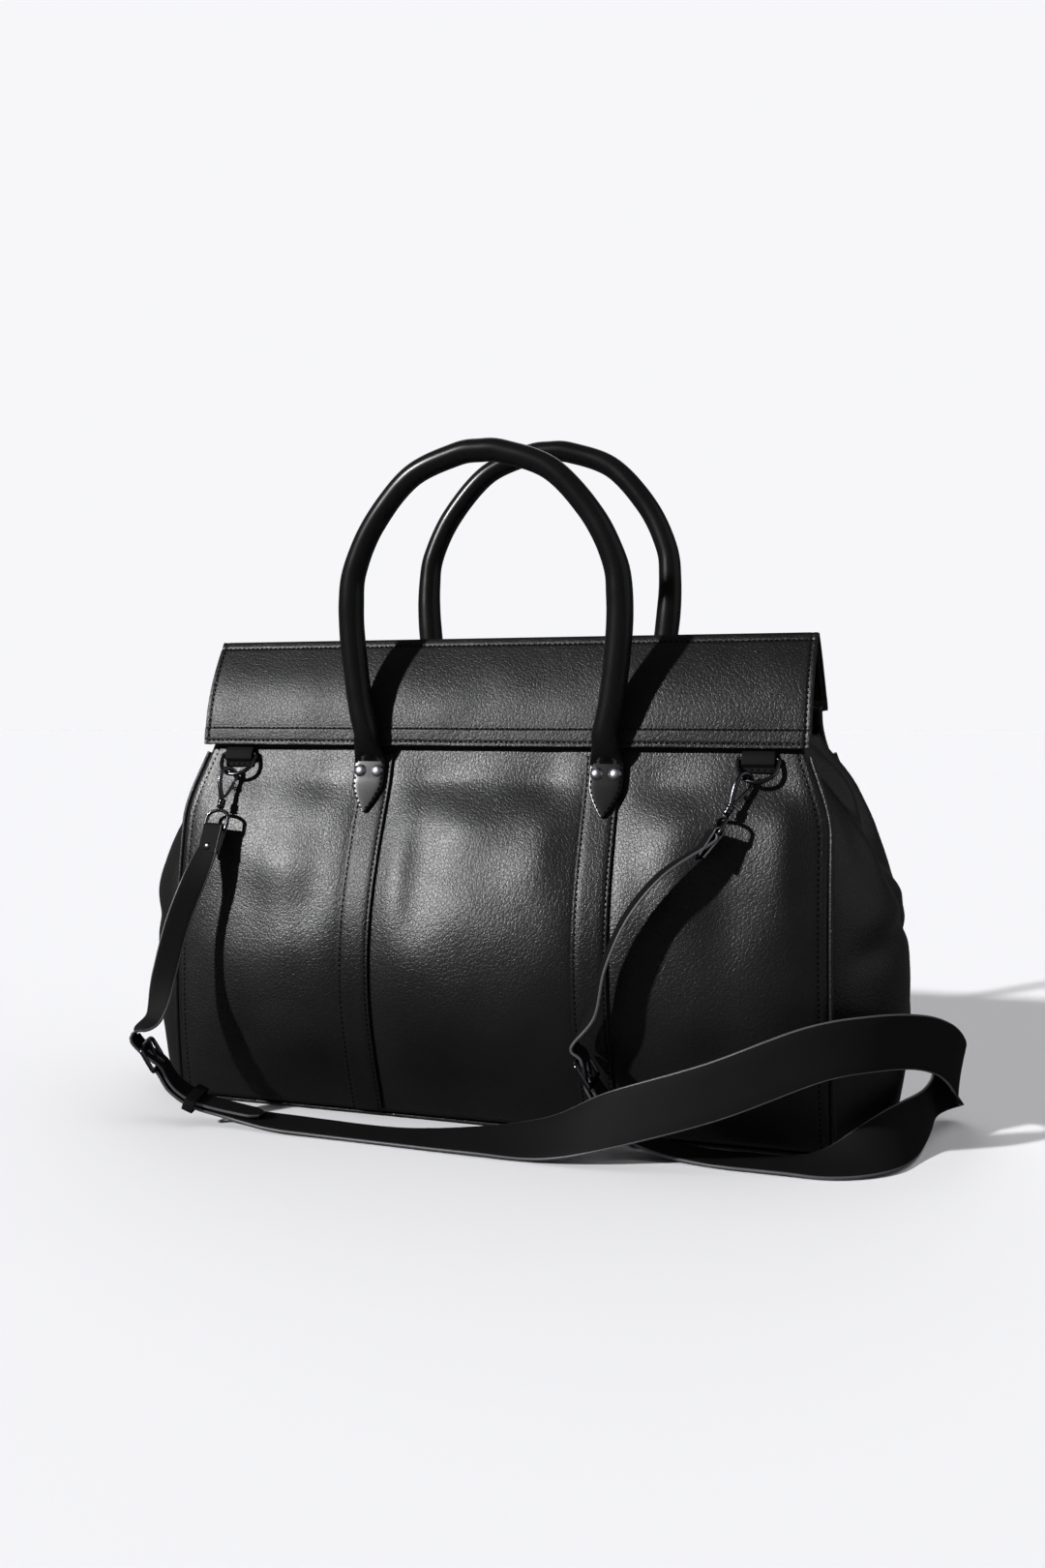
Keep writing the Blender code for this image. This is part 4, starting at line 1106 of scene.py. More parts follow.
# Each row: x, y, z of the middle of the band, then the direction of its near edge.
STRAP_ROUTE = [
    (-0.2440, -0.1530, 0.0440, 0.35, -0.85, -0.35),
    (-0.2350, -0.1480, 0.0280, 0.32, -0.88, -0.32),
    (-0.2130, -0.1420, 0.0145, 0.20, -0.95, -0.20),
    (-0.1650, -0.1350, 0.0050, 0.05, -1.00, -0.05),
    (-0.1100, -0.1330, 0.0022, 0.00, -1.00, 0.00),
    (-0.0480, -0.1345, 0.0024, 0.00, -1.00, -0.02),
    (0.0200, -0.1380, 0.0074, 0.00, -0.96, -0.25),
    (0.0740, -0.1410, 0.0150, 0.00, -0.80, -0.60),
    (0.1260, -0.1450, 0.0350, 0.00, -0.35, -0.93),
    (0.1950, -0.1420, 0.0595, 0.05, -0.08, -1.00),
    (0.2600, -0.1300, 0.0870, 0.08, 0.00, -1.00),
    (0.2980, -0.1080, 0.0930, 0.00, 0.00, -1.00),
    (0.3260, -0.0680, 0.0880, -0.10, 0.00, -1.00),
    (0.3420, -0.0250, 0.0750, -0.14, 0.00, -1.00),
    (0.3500, 0.0120, 0.0580, -0.16, 0.00, -1.00),
    (0.3510, 0.0400, 0.0420, -0.14, 0.00, -1.00),
    (0.3430, 0.0580, 0.0300, -0.08, 0.00, -1.00),
    (0.3330, 0.0500, 0.0234, 0.00, 0.00, -1.00),
    (0.3310, 0.0160, 0.0208, 0.00, 0.00, -1.00),
    (0.3270, -0.0220, 0.0206, 0.10, -0.02, -1.00),
    (0.3160, -0.0600, 0.0192, 0.40, -0.25, -0.88),
    (0.2980, -0.0910, 0.0133, 0.55, -0.60, -0.58),
    (0.2730, -0.1060, 0.0063, 0.42, -0.88, -0.22),
    (0.2430, -0.1080, 0.0025, 0.10, -0.99, -0.02),
    (0.2120, -0.1075, 0.0018, 0.02, -1.00, 0.00),
    (0.1800, -0.1090, 0.0027, 0.00, -1.00, -0.04),
    (0.1480, -0.1140, 0.0092, 0.05, -0.93, -0.30),
    (0.1250, -0.1180, 0.0225, 0.14, -0.66, -0.70),
    (0.1120, -0.1215, 0.0400, 0.25, -0.66, -0.68),
    (0.1040, -0.1240, 0.0530, 0.29, -0.76, -0.57),
]
# Each hangs at x: its way down, its eye's way, its first step, the strap step that its tip
# reaches, and rows as in the strap's route.
BILLETS = {
    "left": dict(
        x=-0.2215, down=(-0.08, -0.40, -1.0), eye=(0.97, -0.22, -0.1), first=0.008, tip=11,
        rows=[(-0.2320, -0.1190, 0.1900, 0.92, 0.38, 0.0),
              (-0.2420, -0.1290, 0.1550, 0.88, 0.46, -0.05),
              (-0.2490, -0.1380, 0.1150, 0.88, 0.30, -0.2),
              (-0.2510, -0.1490, 0.0830, 0.68, -0.40, -0.35)]),
    "right": dict(
        x=0.2050, down=(-0.50, -0.52, -1.0), eye=(0.45, -0.88, 0.05), first=0.006, tip=7,
        rows=[(0.1530, -0.1220, 0.2080, 0.40, -0.91, 0.0),
              (0.1290, -0.1290, 0.1780, 0.35, -0.93, -0.1),
              (0.1130, -0.1320, 0.1420, 0.33, -0.93, -0.2),
              (0.1050, -0.1310, 0.1080, 0.30, -0.88, -0.4)]),
}


def framed(rows, count):
    """Middles, forward, near-edge and face directions along a band's route."""
    line = smooth(rows, count)
    ahead = unit(np.gradient(line[:, :3], axis=0))
    edge = unit(line[:, 3:6] - (line[:, 3:6] * ahead).sum(1)[:, None] * ahead)
    return line[:, :3], ahead, edge, np.cross(edge, ahead)


def strap_width(v):
    grow = np.clip((np.minimum(v, 1 - v) - STRAP_NARROW) / STRAP_FLARE, 0, 1)
    return STRAP_END_WIDTH + (STRAP_WIDTH - STRAP_END_WIDTH) * grow * grow * (3 - 2 * grow)


def belt(name, middle, edge, face, width, thick):
    """A cut leather band with rounded, burnished edges along a route."""
    count = len(middle)
    half = np.broadcast_to(width, count) / 2
    round_by = thick * 0.42
    arc = np.linspace(0, pi / 2, 4)
    corner = [(round_by * (np.cos(t) - 1), thick / 2 - round_by + round_by * np.sin(t))
              for t in arc]
    flat = [(0.55, 0, thick / 2), (0, 0, thick / 2 * 1.01), (-0.55, 0, thick / 2)]
    section = [(1, a, b) for a, b in corner] + flat
    section += [(-1, -a, b) for a, b in corner[::-1]] + [(-1, -a, -b) for a, b in corner]
    section += [(-a, b, -c) for a, b, c in flat]
    section += [(1, a, -b) for a, b in corner[::-1]]
    sides = len(section)
    spots = []
    for i in range(count):
        for share, more, high in section:
            spots.append(middle[i] + edge[i] * (share * half[i] + more) + face[i] * high)
    made = piece(name, np.array(spots), ring_faces(count, sides), "strap_leather", 50)
    made.data.materials.append(finish_of("cut_edge"))
    middles = np.empty(len(made.data.polygons) * 3)
    made.data.polygons.foreach_get("center", middles)
    middles = middles.reshape(-1, 3)
    nearest = np.array([int(np.argmin(((middle - p) ** 2).sum(1))) for p in middles])
    away = np.abs(((middles - middle[nearest]) * edge[nearest]).sum(1))
    rim = (away > half[nearest] - thick * 0.40).astype(np.int32)
    made.data.polygons.foreach_set("material_index", rim)
    return made


def cut(thing, centre, size, axes):
    """Cuts a box out of a piece for good."""
    corners = [np.asarray(centre) + sum(axes[k] * size[k] * s[k] / 2 for k in range(3))
               for s in [(a, b, c) for a in (-1, 1) for b in (-1, 1) for c in (-1, 1)]]
    faces = [(0, 1, 3, 2), (4, 6, 7, 5), (0, 4, 5, 1), (2, 3, 7, 6), (0, 2, 6, 4), (1, 5, 7, 3)]
    tool = piece("slot_tool", corners, faces, "cut_edge", 30)
    hole = thing.modifiers.new("slot", "BOOLEAN")
    hole.operation = "DIFFERENCE"
    hole.object = tool
    hole.solver = "EXACT"
    seen = thing.evaluated_get(bpy.context.evaluated_depsgraph_get())
    made = bpy.data.meshes.new_from_object(seen)
    thing.modifiers.clear()
    thing.data = made
    bpy.data.objects.remove(tool, do_unlink=True)


def strap_end(side):
    """End point and outward, near-edge and face directions of the wide strap."""
    middle, ahead, edge, face = framed(STRAP_ROUTE, STRAP_STEPS)
    at, way = (0, -1) if side == "left" else (-1, 1)
    return middle[at], way * ahead[at], edge[at], face[at]


class HOLDALL_OT_strap(bpy.types.Operator):
    """Makes the shoulder strap, its billets, buckles, keepers, hooks, rings and ring tabs"""
    bl_idname = "holdall.strap"
    bl_label = "Shoulder Strap"

    def execute(self, context):
        middle, _, edge, face = framed(STRAP_ROUTE, 420)
        width = strap_width(np.linspace(0, 1, len(middle)))
        strap = belt("strap_wide", middle, edge, face, width, STRAP_THICK)
        ride(strap, "root", "strap_leather", "shoulder_strap")
        made = {side: self.side(side) for side in ("left", "right")}
        return {"FINISHED"}

    def side(self, side):
        way = -1 if side == "left" else 1
        made = {}
        hold = BILLETS[side]
        self.ring(side, way)
        start, eye_edge, down = self.hook(side, hold)
        end, out, edge, face = strap_end(side)
        heel = BUCKLE_WIRE + 2 * GAP
        far = heel + BUCKLE_LONG

        def at(along, across=0.0, up=0.0):
            return end + out * along + edge * across + face * up
        corners = [(heel, -0.97), (heel - 0.0002, -0.5), (heel - 0.0002, 0), (heel - 0.0002, 0.5),
                   (heel, 0.97), (heel + 0.004, 1.02), (far - 0.005, 1.02), (far - 0.0012, 0.9),
                   (far, 0.5), (far, 0), (far, -0.5), (far - 0.0012, -0.9), (far - 0.005, -1.02),
                   (heel + 0.004, -1.02)]
        ring = wire("buckle_frame_" + side, [at(a, b * BUCKLE_HALF) for a, b in corners],
                    BUCKLE_WIRE, loop=True, count=160)
        made["buckle"] = ride(ring, "root", "black_nickel", "buckle_" + side)
        lift = 2 * BUCKLE_WIRE
        prong = wire("buckle_prong_" + side,
                     [at(heel + BUCKLE_WIRE + 0.0018), at(heel + 0.010, 0, 0.0020),
                      at(far, 0, lift), at(far + 0.002, 0, lift)],
                     [0.0012, 0.0012, 0.0011, 0.0009], sides=12, count=30)
        made["prong"] = ride(prong, "prong_" + side, "black_nickel", "prong_" + side)
        middle, ahead, edges, faces = framed(STRAP_ROUTE, STRAP_STEPS)
        last = STRAP_STEPS - 1
        through = [np.r_[at(far + 0.011, 0, -0.0032), edge], np.r_[at(far, 0, -BILLET_LIFT), edge],
                   np.r_[at(far * 0.5), edge], np.r_[at(BUCKLE_WIRE, 0, BILLET_LIFT), edge]]
        steps = range(1, hold["tip"])
        order = steps if side == "left" else [last - step for step in steps]
        tip = [np.r_[middle[i] + faces[i] * BILLET_LIFT, edges[i]] for i in order]
        rows = [np.r_[start, eye_edge], np.r_[start + down * hold["first"], eye_edge]]
        rows += [np.array(row, float) for row in hold["rows"]] + through + tip
        line, _, line_edge, line_face = framed(rows, 200)
        shares = np.linspace(0, 1, 200)
        width = BILLET_WIDTH * np.minimum(1, 0.30 + 0.70 * np.clip((1 - shares) * 34, 0, 1) ** 0.6)
        billet = belt("billet_strap_" + side, line, line_edge, line_face, width, BILLET_THICK)
        cut(billet, at(heel + 0.0072, 0, 0.0016), (0.0140, 0.0038, 0.012), (out, edge, face))
        made["billet"] = ride(billet, "root", "strap_leather", "billet_" + side)
        made["path"] = line
        spot = KEEPER_STEP if side == "left" else last - KEEPER_STEP
        centre = middle[spot] + faces[spot] * (BILLET_LIFT / 2)
        made["keeper"] = self.loop("keeper_loop_" + side, centre, ahead[spot], edges[spot],
                                   faces[spot], *KEEPER_SIZE)
        ride(made["keeper"], "root", "strap_leather", "keeper_" + side)
        self.fold(side, start, eye_edge, down, line)
        return made

    def loop(self, name, centre, ahead, edge, face, wide, high, half, thin):
        """A flat leather loop round a strap."""
        turn = np.linspace(0, 2 * pi, 72, endpoint=False)
        c, s = squared(turn, 2 / 6, 2 / 4)
        route = centre + np.outer(c * wide, edge) + np.outer(s * high, face)
        way = unit(np.roll(route, -1, 0) - np.roll(route, 1, 0))
        side = np.broadcast_to(ahead, way.shape)
        return loft(name, route, side, np.cross(side, way), half, thin, "strap_leather", square=6,
                    sides=20, loop=True)

    def fold(self, side, start, edge, down, line):
        """The billet's end folded round the hook's eye, held by a stud."""
        eye = start - down * (EYE_WIRE + GAP + 0.0010)
        normal = unit(np.cross(edge, down))
        turn = np.linspace(-0.15 * pi, 1.15 * pi, 20)
        radius = EYE_WIRE + 0.0018
        bend = [eye + normal * radius * cos(t) - down * radius * sin(t) for t in turn]
        near = unit(line[6] - line[0])
        tails = [FOLD_TAIL, FOLD_TAIL * 0.6, FOLD_TAIL * 0.3]
        first = [bend[0] + near * d + normal * (0.0001 - d * 0.06) for d in tails]
        final = [bend[-1] + near * d + normal * (d * 0.06) for d in tails[::-1]]
        route = smooth(np.array(first + bend + final), 70)
        ahead = unit(np.gradient(route, axis=0))
        across = np.broadcast_to(edge, route.shape)
        across = unit(across - (across * ahead).sum(1)[:, None] * ahead)
        made = belt("billet_fold_" + side, route, across, np.cross(across, ahead),
                    BILLET_WIDTH * 0.98, 0.0014)
        ride(made, "root", "strap_leather")
        for head in (route[6], route[-7]):
            out = unit(head - line[np.argmin(((line - head) ** 2).sum(1))])
            if out[1] <= 0:
                break
        stud = turned("billet_stud_" + side, head + out * 0.0006, out, STUD, sides=24)
        ride(stud, "root", "black_nickel")

    def ring(self, side, way):
        x = way * RING_X[way]
        bar_y = -(float(half_depth(RING_BAR_Z)) + RING_WIRE + GAP)
        flat = [(RING_HALF * share, 0.0) for share in (-0.99, -0.5, 0, 0.5, 0.99)]
        for step in range(13):
            turn = pi * step / 12
            flat.append((RING_HALF * RING_ROUND * cos(turn),
                         RING_SIDE + (RING_DROP - RING_SIDE) * sin(turn)))
        points = [(x + across, bar_y - drop * sin(RING_TILT), RING_BAR_Z - drop * cos(RING_TILT))
                  for across, drop in flat]
        wire_ring = wire("d_ring_wire_" + side, points, RING_WIRE, loop=True, count=180)
        ride(wire_ring, "d_ring_" + side, "black_nickel", "d_ring_" + side)
        heights, lifts = zip(*RING_TAB_LIFT)

        def face(u, z):
            y = half_depth(z) + GAP + RING_TAB_THICK + np.interp(z, heights, lifts)
            return np.stack([x + u * RING_TAB_HALF, -(y + 0.0004 * (1 - u ** 2)), z], -1)
        tab = sheet("ring_tab_leather_" + side, np.linspace(-1, 1, 15),
                    np.linspace(heights[0], heights[-1], 60), face, RING_TAB_THICK,
                    "strap_leather",
                    edge=0.0004, wear=lambda u, z: ease(np.abs(u), 0.9, 1))
        ride(tab, "root", "strap_leather", "ring_tab_" + side)
        seams = Seams()
        seams.add(face, np.linspace(-0.80, 0.80, 30), 0.2806)
        ride(seams.sew("ring_tab_stitches_" + side), "root", "strap_leather")

    def hook(self, side, hold):
        x, down = hold["x"], unit(hold["down"])
        aside = (abs(x) - RING_X[1 if x > 0 else -1]) / (RING_HALF * RING_ROUND)
        drop = RING_SIDE + (RING_DROP - RING_SIDE) * (1 - aside ** 2) ** 0.5
        bar_y = -(float(half_depth(RING_BAR_Z)) + RING_WIRE + GAP)
        ring = np.array([x, bar_y - drop * sin(RING_TILT), RING_BAR_Z - drop * cos(RING_TILT)])
        top = ring - down * (RING_WIRE + HOOK_WIRE + HOOK_PLAY)
        twist = radians(130)
        flat = np.array([cos(twist), -sin(twist), 0.0])
        across = unit(flat - down * flat.dot(down))

        def at(side_way, along):
            return top + across * side_way + down * along
        turns = np.radians(np.arange(200, -1, -10))
        bend = [at(HOOK_BEND * cos(t), HOOK_BEND * (1 - sin(t))) for t in turns]
        shank = [at(0.0064, 0.010), at(0.0056, 0.014), at(0.0038, 0.0195), at(0.0018, 0.0240),
                 at(0.0003, 0.0275)]
        thick = np.concatenate([np.linspace(0.0013, HOOK_WIRE, 6),
                                np.full(len(bend) - 6, HOOK_WIRE),
                                np.linspace(0.0019, 0.0021, 5)])
        body = wire("hook_shank_" + side, bend + shank, thick, count=120)
        barrel = turned("hook_barrel_" + side, at(0, 0.0262), down, BARREL)
        ride(joined("hook_body_" + side, [body, barrel]), "hook_" + side, "black_nickel",
             "hook_" + side)
        lever = [at(-0.0058, 0.0096), at(-0.0054, 0.0120), at(-0.0042, 0.0170),
                 at(-0.0014, 0.0245)]
        gate = wire("gate_" + side, lever, [0.0011, 0.0013, 0.0013, 0.0012], count=40, sides=12)
        knob = turned("gate_knob_" + side, at(-0.0048, 0.0150), -across, KNOB, sides=16)
        ride(joined("hook_gate_lever_" + side, [gate, knob]), "hook_gate_" + side, "black_nickel",
             "hook_gate_" + side)
        edge = unit(np.array(hold["eye"]) - down * np.dot(hold["eye"], down))
        low = HOOK_LONG + GAP + EYE_WIRE
        loop = [at(0, low + 0.006 * (1 - sin(t))) + edge * EYE_HALF * cos(t)
                for t in np.linspace(0, pi, 11)]
        loop += [at(0, low + EYE_DROP) + edge * EYE_HALF * share
                 for share in (-0.98, -0.5, 0, 0.5, 0.98)]
        eye = wire("hook_eye_wire_" + side, loop, EYE_WIRE, loop=True, count=140)
        stem = turned("hook_stem_" + side, at(0, 0.0350), down, STEM, sides=20)
        ride(joined("hook_eye_loop_" + side, [eye, stem]), "root", "black_nickel",
             "hook_eye_" + side)
        return at(0, low + EYE_DROP + EYE_WIRE + GAP + 0.0010), edge, down


# ---- inside, foot and zip ---------------------------------------------------------
def rounded(half_x, half_y, corner, count):
    """Points round a rectangle with rounded corners, anticlockwise from above."""
    turn = np.linspace(0, 2 * pi, count, endpoint=False)
    quarter = np.floor(turn / (pi / 2)) * pi / 2 + pi / 4
    middle = np.stack([np.sign(np.cos(quarter)) * (half_x - corner),
                       np.sign(np.sin(quarter)) * (half_y - corner)], -1)
    return middle + corner * np.stack([np.cos(turn), np.sin(turn)], -1)


def ring_points(half_x, half_y, corner, count=96):
    """The same outline with its points spread evenly."""
    rough = rounded(half_x, half_y, corner, 256)
    closed = np.vstack([rough, rough[:1]])
    far = np.concatenate([[0], np.cumsum(np.linalg.norm(np.diff(closed, axis=0), axis=1))])
    where = np.linspace(0, far[-1], count, endpoint=False)
    return np.stack([np.interp(where, far, closed[:, k]) for k in (0, 1)], -1)


def stacked(name, rings, finish):
    """A closed body from rings of equal count, first to last, capped."""
    return piece(name, np.vstack(rings), ring_faces(len(rings), len(rings[0])), finish)


LINING_IN, LINING_CORNER = 0.0052, 0.022


class HOLDALL_OT_inside(bpy.types.Operator):
    """Makes the leather foot and the cloth lining, and finishes the board and the rope cores"""
    bl_idname = "holdall.inside"
    bl_label = "Foot and Lining"

    def execute(self, context):
        low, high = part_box("base_panel")
        rings = []
        for inset, z in ((0.0012, low.z), (0.0003, low.z + 0.0005), (0.0, low.z + 0.0012),
                         (0.0003, high.z - 0.0004), (0.0012, high.z)):
            flat = ring_points(high.x - inset, high.y - inset, 0.010)
            rings.append(np.column_stack([flat, np.full(len(flat), z)]))
        ride(stacked("foot_leather", rings, "bag_leather"), "root", "bag_leather", "base_panel")
        low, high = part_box("lining")
        rings = []
        count = 160
        for z in np.linspace(high.z, low.z, 40):
            flat = ring_points(high.x, float(half_depth(z)) - LINING_IN, LINING_CORNER, count)
            spots = np.column_stack([flat, np.full(count, z)])
            free = float(ease(high.z - z, 0, 0.02)) * float(ease(z, low.z, low.z + 0.02))
            slack = np.abs(cloudy(spots * (1, 1, 0.35), 0.05, 41)) * 0.0022 * free
            rings.append(spots * np.column_stack([1 - slack / 0.25, 1 - slack / 0.09,
                                                  np.ones(count)]))
        deep = float(half_depth(low.z)) - LINING_IN
        for share in (0.97, 0.8, 0.4, 0.02):
            flat = ring_points(high.x * share, deep * share, LINING_CORNER * share, count)
            rings.append(np.column_stack([flat, np.full(count, low.z)]))
        faces = [(j * count + i, (j + 1) * count + i, (j + 1) * count + (i + 1) % count,
                  j * count + (i + 1) % count)
                 for j in range(len(rings) - 1) for i in range(count)]
        faces.append(tuple(range((len(rings) - 1) * count, len(rings) * count))[::-1])
        tub = piece("lining_cloth", np.vstack(rings), faces, "lining_fabric", 50, closed=False)
        wall = tub.modifiers.new("wall", "SOLIDIFY")
        wall.thickness = 0.0008
        wall.offset = -1
        ride(tub, "root", "lining_fabric", "lining")
        cores = {"base_board": "board", "handle_front_core": "rope", "handle_back_core": "rope"}
        for node, name in cores.items():
            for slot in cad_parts[node].material_slots:
                slot.material = finish_of(name)
        return {"FINISHED"}


class HOLDALL_OT_zip(bpy.types.Operator):
    """Makes the zip's tapes, coils, slider and pull"""
    bl_idname = "holdall.zip"
    bl_label = "Zip"

    def execute(self, context):
        low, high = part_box("zip_chain_front")
        half, top = high.x, high.z - 0.0012
        for side, word, body in ((FRONT, "front", "root"), (BACK, "back", "mouth_back")):
            def tape(u, v, side=side):
                x = -side * u * half
                away = GAP + 0.0008 + 0.0022 * v + 0.0002 * np.sin(x * 90 + v * 3) * v
                return np.stack([x, RIDGE_Y + side * away, top - 0.0006 - 0.0092 * v], -1)
            cloth = sheet("zip_tape_" + word, np.linspace(-1, 1, 120), np.linspace(0, 1, 8)[::-1],
                          tape, 0.0005, "zip_tape")
            line = np.column_stack([np.linspace(-half, half, 80),
                                    np.full(80, RIDGE_Y + side * (GAP + 0.0008)),
                                    np.full(80, top)])
            teeth = repeated("zip_teeth_" + word, tooth_tree, [line], [np.array([0, 0, 1.0])],
                             "black_nickel",
                             pitch=0.0020, reach=0.0013, thick=0.0010)
            ride(cloth, body, "zip_tape", "zip_chain_" + word)
            ride(teeth, body, "black_nickel")
        low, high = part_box("zip_slider")
        middle = (np.array(low) + np.array(high)) / 2
        size = (np.array(high) - np.array(low)) / 2
        rings = []
        for up in (-1.0, -0.8, -0.3, 0.3, 0.8, 1.0):
            share = {1.0: 0.80, 0.8: 0.97, 0.3: 1.0}[abs(up)]
            turn = np.linspace(0, 2 * pi, 40, endpoint=False)
            waist = 1 - 0.22 * np.abs(np.sin(turn)) ** 4
            c, s = squared(turn, 0.6, 0.6)
            flat = np.column_stack([c * size[0] * share, s * size[1] * share * waist,
                                    np.full(40, up * size[2])])
            rings.append(flat + middle)
        ride(stacked("zip_slider_body", rings, "black_nickel"), "zip_slider", "black_nickel",
             "zip_slider")
        low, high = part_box("zip_pull")
        y, z = (low.y + high.y) / 2, (low.z + high.z) / 2
        xs = np.linspace(high.x - 0.0005, low.x + 0.0005, 24)
        share = (xs - xs[-1]) / (xs[0] - xs[-1])
        wide = 0.0009 + 0.0002 * (1 - ease(share, 0.15, 0.9)) - 0.0003 * hump(share, 0.0, 0.05)
        route = np.column_stack([xs, np.full(24, y), np.full(24, z)])
        _, across, up = frames_along(route, (0, 0, 1))
        pull = loft("zip_pull_tag", route, across, up, wide, np.full(24, 0.0008), "metal_with_painted_reflection",
                    square=3.5)
        ride(pull, "zip_pull", "black_nickel", "zip_pull")
        return {"FINISHED"}


# ---- stage --------------------------------------------------------------------
SUNS = {    # direction to the light, strength, width in degrees
    "key": ((-0.5826, -0.6943, 0.4226), 4.6, 2.5),
    "fill_top": ((0.10, 0.25, 0.96), 1.05, 70),
    "fill_right": ((0.95, -0.10, 0.40), 0.32, 60),
    "fill_back": ((-0.35, 0.80, 0.49), 0.50, 50),
}
CAMERA_AT, CAMERA_TURN = (0.3997, -1.1325, 0.3215), (90 - 2.7406, 0, 19.2156)
LENS, SENSOR = 33.497, 36.0
FLOOR_REACH, BACKDROP_REACH = 30.0, 29.0
WORLD_LIGHT = 0.07
FLOOR_PALE = 0.845


class HOLDALL_OT_stage(bpy.types.Operator):
    """Sets up the camera, the lights, the pale floor and the backdrop"""
    bl_idname = "holdall.stage"
    bl_label = "Stage"

    def execute(self, context):
        look = context.scene.holdall_look
        scene = context.scene
        eye = bpy.data.cameras.new("camera")
        eye.lens = LENS
        eye.sensor_width = SENSOR
        eye.clip_end = 100.0
        camera = bpy.data.objects.new("camera", eye)
        camera.location = CAMERA_AT
        camera.rotation_euler = [radians(turn) for turn in CAMERA_TURN]
        scene.collection.objects.link(camera)
        scene.camera = camera
        scene.view_settings.view_transform = "Standard"
        lit = WORLD_LIGHT * pi
        for name, (way, strength, wide) in SUNS.items():
            lamp = bpy.data.lights.new(name, "SUN")
            lamp.energy = strength
            lamp.angle = radians(wide)
            thing = bpy.data.objects.new(name, lamp)
            thing.visible_glossy = name != "fill_top"
            thing.rotation_euler = Vector(way).to_track_quat("Z", "Y").to_euler()
            scene.collection.objects.link(thing)
            lit += strength * unit(way)[2]
        world = bpy.data.worlds.new("world")
        scene.world = world
        world.use_nodes = True
        sky = world.node_tree.nodes["Background"]
        sky.inputs["Color"].default_value = (0.97, 0.97, 1.0, 1)
        sky.inputs["Strength"].default_value = WORLD_LIGHT
        self.floor(look)
        self.backdrop(look, lit * FLOOR_PALE / pi)
        return {"FINISHED"}

    def floor(self, look):
        paint = Paint("pale_floor", {"Specular IOR Level": 0.0, "Roughness": 1.0})
        cloud = paint.noise(0.8, 2.0)
        pale = [channel * FLOOR_PALE for channel in look.floor]
        paint.set(paint.shader,
                  {"Base Color": paint.mix(cloud, grey(pale, 0.995), grey(pale, 1.005))})
        turn = np.linspace(0, 2 * pi, 128, endpoint=False)
        spots = [(0, 0, -0.0004)]
        spots += [(FLOOR_REACH * cos(t), FLOOR_REACH * sin(t), -0.0004) for t in turn]
        faces = [(0, 1 + i, 1 + (i + 1) % 128) for i in range(128)]
        self.add("floor", spots, faces, paint.material).visible_glossy = False

    def backdrop(self, look, strength):
        paint = Paint("backdrop_paper", {"Base Color": (0, 0, 0, 1), "Specular IOR Level": 0.0})
        tint = [channel * strength for channel in look.floor]
        paint.set(paint.shader, {"Emission Color": grey(tint, 1.0), "Emission Strength": 1.0})
        rings, steps = 16, 64
        spots = []
        for j in range(rings + 1):
            out, up = (BACKDROP_REACH * turn(pi / 2 * j / rings) for turn in (cos, sin))
            spots += [(out * cos(2 * pi * i / steps), out * sin(2 * pi * i / steps), up - 0.002)
                      for i in range(steps)]
        faces = [(j * steps + i, (j + 1) * steps + i, (j + 1) * steps + (i + 1) % steps,
                  j * steps + (i + 1) % steps)
                 for j in range(rings) for i in range(steps)]
        dome = self.add("backdrop", spots, faces, paint.material)
        for ray in ("diffuse", "glossy", "shadow", "transmission"):
            setattr(dome, "visible_" + ray, False)

    def add(self, name, spots, faces, material):
        data = bpy.data.meshes.new(name)
        data.from_pydata(spots, [], faces)
        data.materials.append(material)
        thing = bpy.data.objects.new(name, data)
        bpy.context.scene.collection.objects.link(thing)
        return thing


# ---- settings, panel and running ------------------------------------------------
def colour_setting(name, description, default):
    return bpy.props.FloatVectorProperty(name=name, description=description, subtype="COLOR",
                                         size=3, min=0, max=1, default=default)


def size_setting(name, description, default):
    return bpy.props.FloatProperty(name=name, description=description, default=default,
                                   min=0.00001, max=1, unit="LENGTH", precision=5)


def share_setting(name, description, default, most=1.0):
    return bpy.props.FloatProperty(name=name, description=description, default=default,
                                   min=0, max=most, subtype="FACTOR")


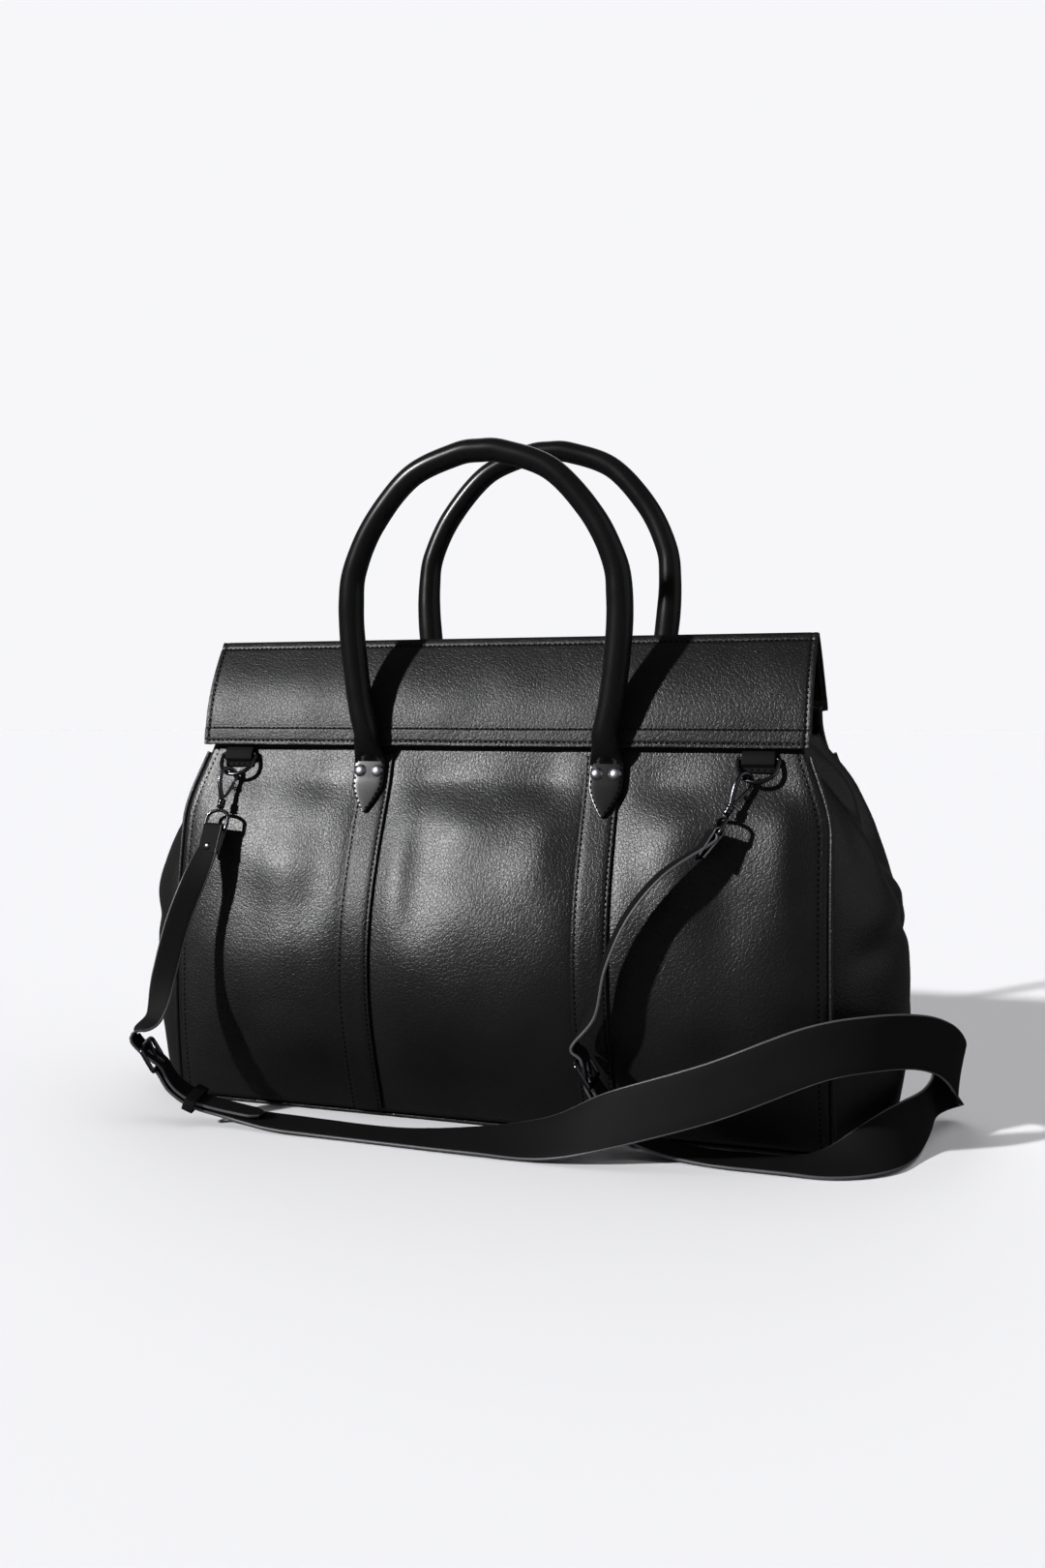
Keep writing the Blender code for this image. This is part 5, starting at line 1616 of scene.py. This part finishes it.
class HoldallLook(bpy.types.PropertyGroup):
    """The holdall's colours and the sizes of its surface detail"""
    leather: colour_setting("Leather", "Colour of the body and strap leather",
                            (0.0040, 0.0040, 0.0043))
    edge: colour_setting("Cut Edge", "Colour of the burnished strap edges", (0.055, 0.055, 0.060))
    metal: colour_setting("Metal", "Colour of the black nickel hardware", (0.10, 0.10, 0.11))
    thread: colour_setting("Thread", "Colour of the stitching", (0.003, 0.003, 0.0032))
    tape: colour_setting("Zip Tape", "Colour of the zip's woven tape", (0.012, 0.012, 0.013))
    lining: colour_setting("Lining", "Colour of the cloth lining", (0.060, 0.058, 0.062))
    floor: colour_setting("Floor", "Tint of the floor and the backdrop", (0.975, 0.975, 1.0))
    grain_size: size_setting("Grain Size", "Width of one leather pebble", 0.0013)
    grain_depth: size_setting("Grain Depth", "Depth of the valleys between pebbles", 0.00022)
    stitch_pitch: size_setting("Stitch Pitch", "Distance from stitch to stitch", 0.0042)
    stitch_length: size_setting("Stitch Length", "Length of one stitch", 0.0027)
    stitch_width: size_setting("Stitch Width", "Width of one stitch", 0.0014)
    leather_rough: share_setting("Leather Roughness", "Roughness of the body leather", 0.38)
    leather_sheen: share_setting("Leather Shine", "Strength of the body leather's shine", 0.43)
    softness: share_setting("Softness", "How far the leather pillows and creases", 1.0, 2.0)


class HOLDALL_PT_look(bpy.types.Panel):
    """The holdall's settings and the steps that build it"""
    bl_label = "Leather Holdall"
    bl_idname = "HOLDALL_PT_look"
    bl_space_type = "VIEW_3D"
    bl_region_type = "UI"
    bl_category = "Holdall"

    def draw(self, context):
        look = context.scene.holdall_look
        for label in HoldallLook.__annotations__:
            self.layout.prop(look, label)
        for step in STEPS:
            self.layout.operator(step.bl_idname)


STEPS = (HOLDALL_OT_stage, HOLDALL_OT_strap, HOLDALL_OT_panels, HOLDALL_OT_ends, HOLDALL_OT_flaps,
         HOLDALL_OT_handles, HOLDALL_OT_inside, HOLDALL_OT_zip)
CLASSES = (HoldallLook, *STEPS, HOLDALL_PT_look)


def register():
    for item in CLASSES:
        bpy.utils.register_class(item)
    bpy.types.Scene.holdall_look = bpy.props.PointerProperty(type=HoldallLook)


def unregister():
    del bpy.types.Scene.holdall_look
    for item in reversed(CLASSES):
        bpy.utils.unregister_class(item)


def main():
    register()
    for step in STEPS:
        group, word = step.bl_idname.split(".")
        getattr(getattr(bpy.ops, group), word)()


if __name__ == "__main__":
    main()
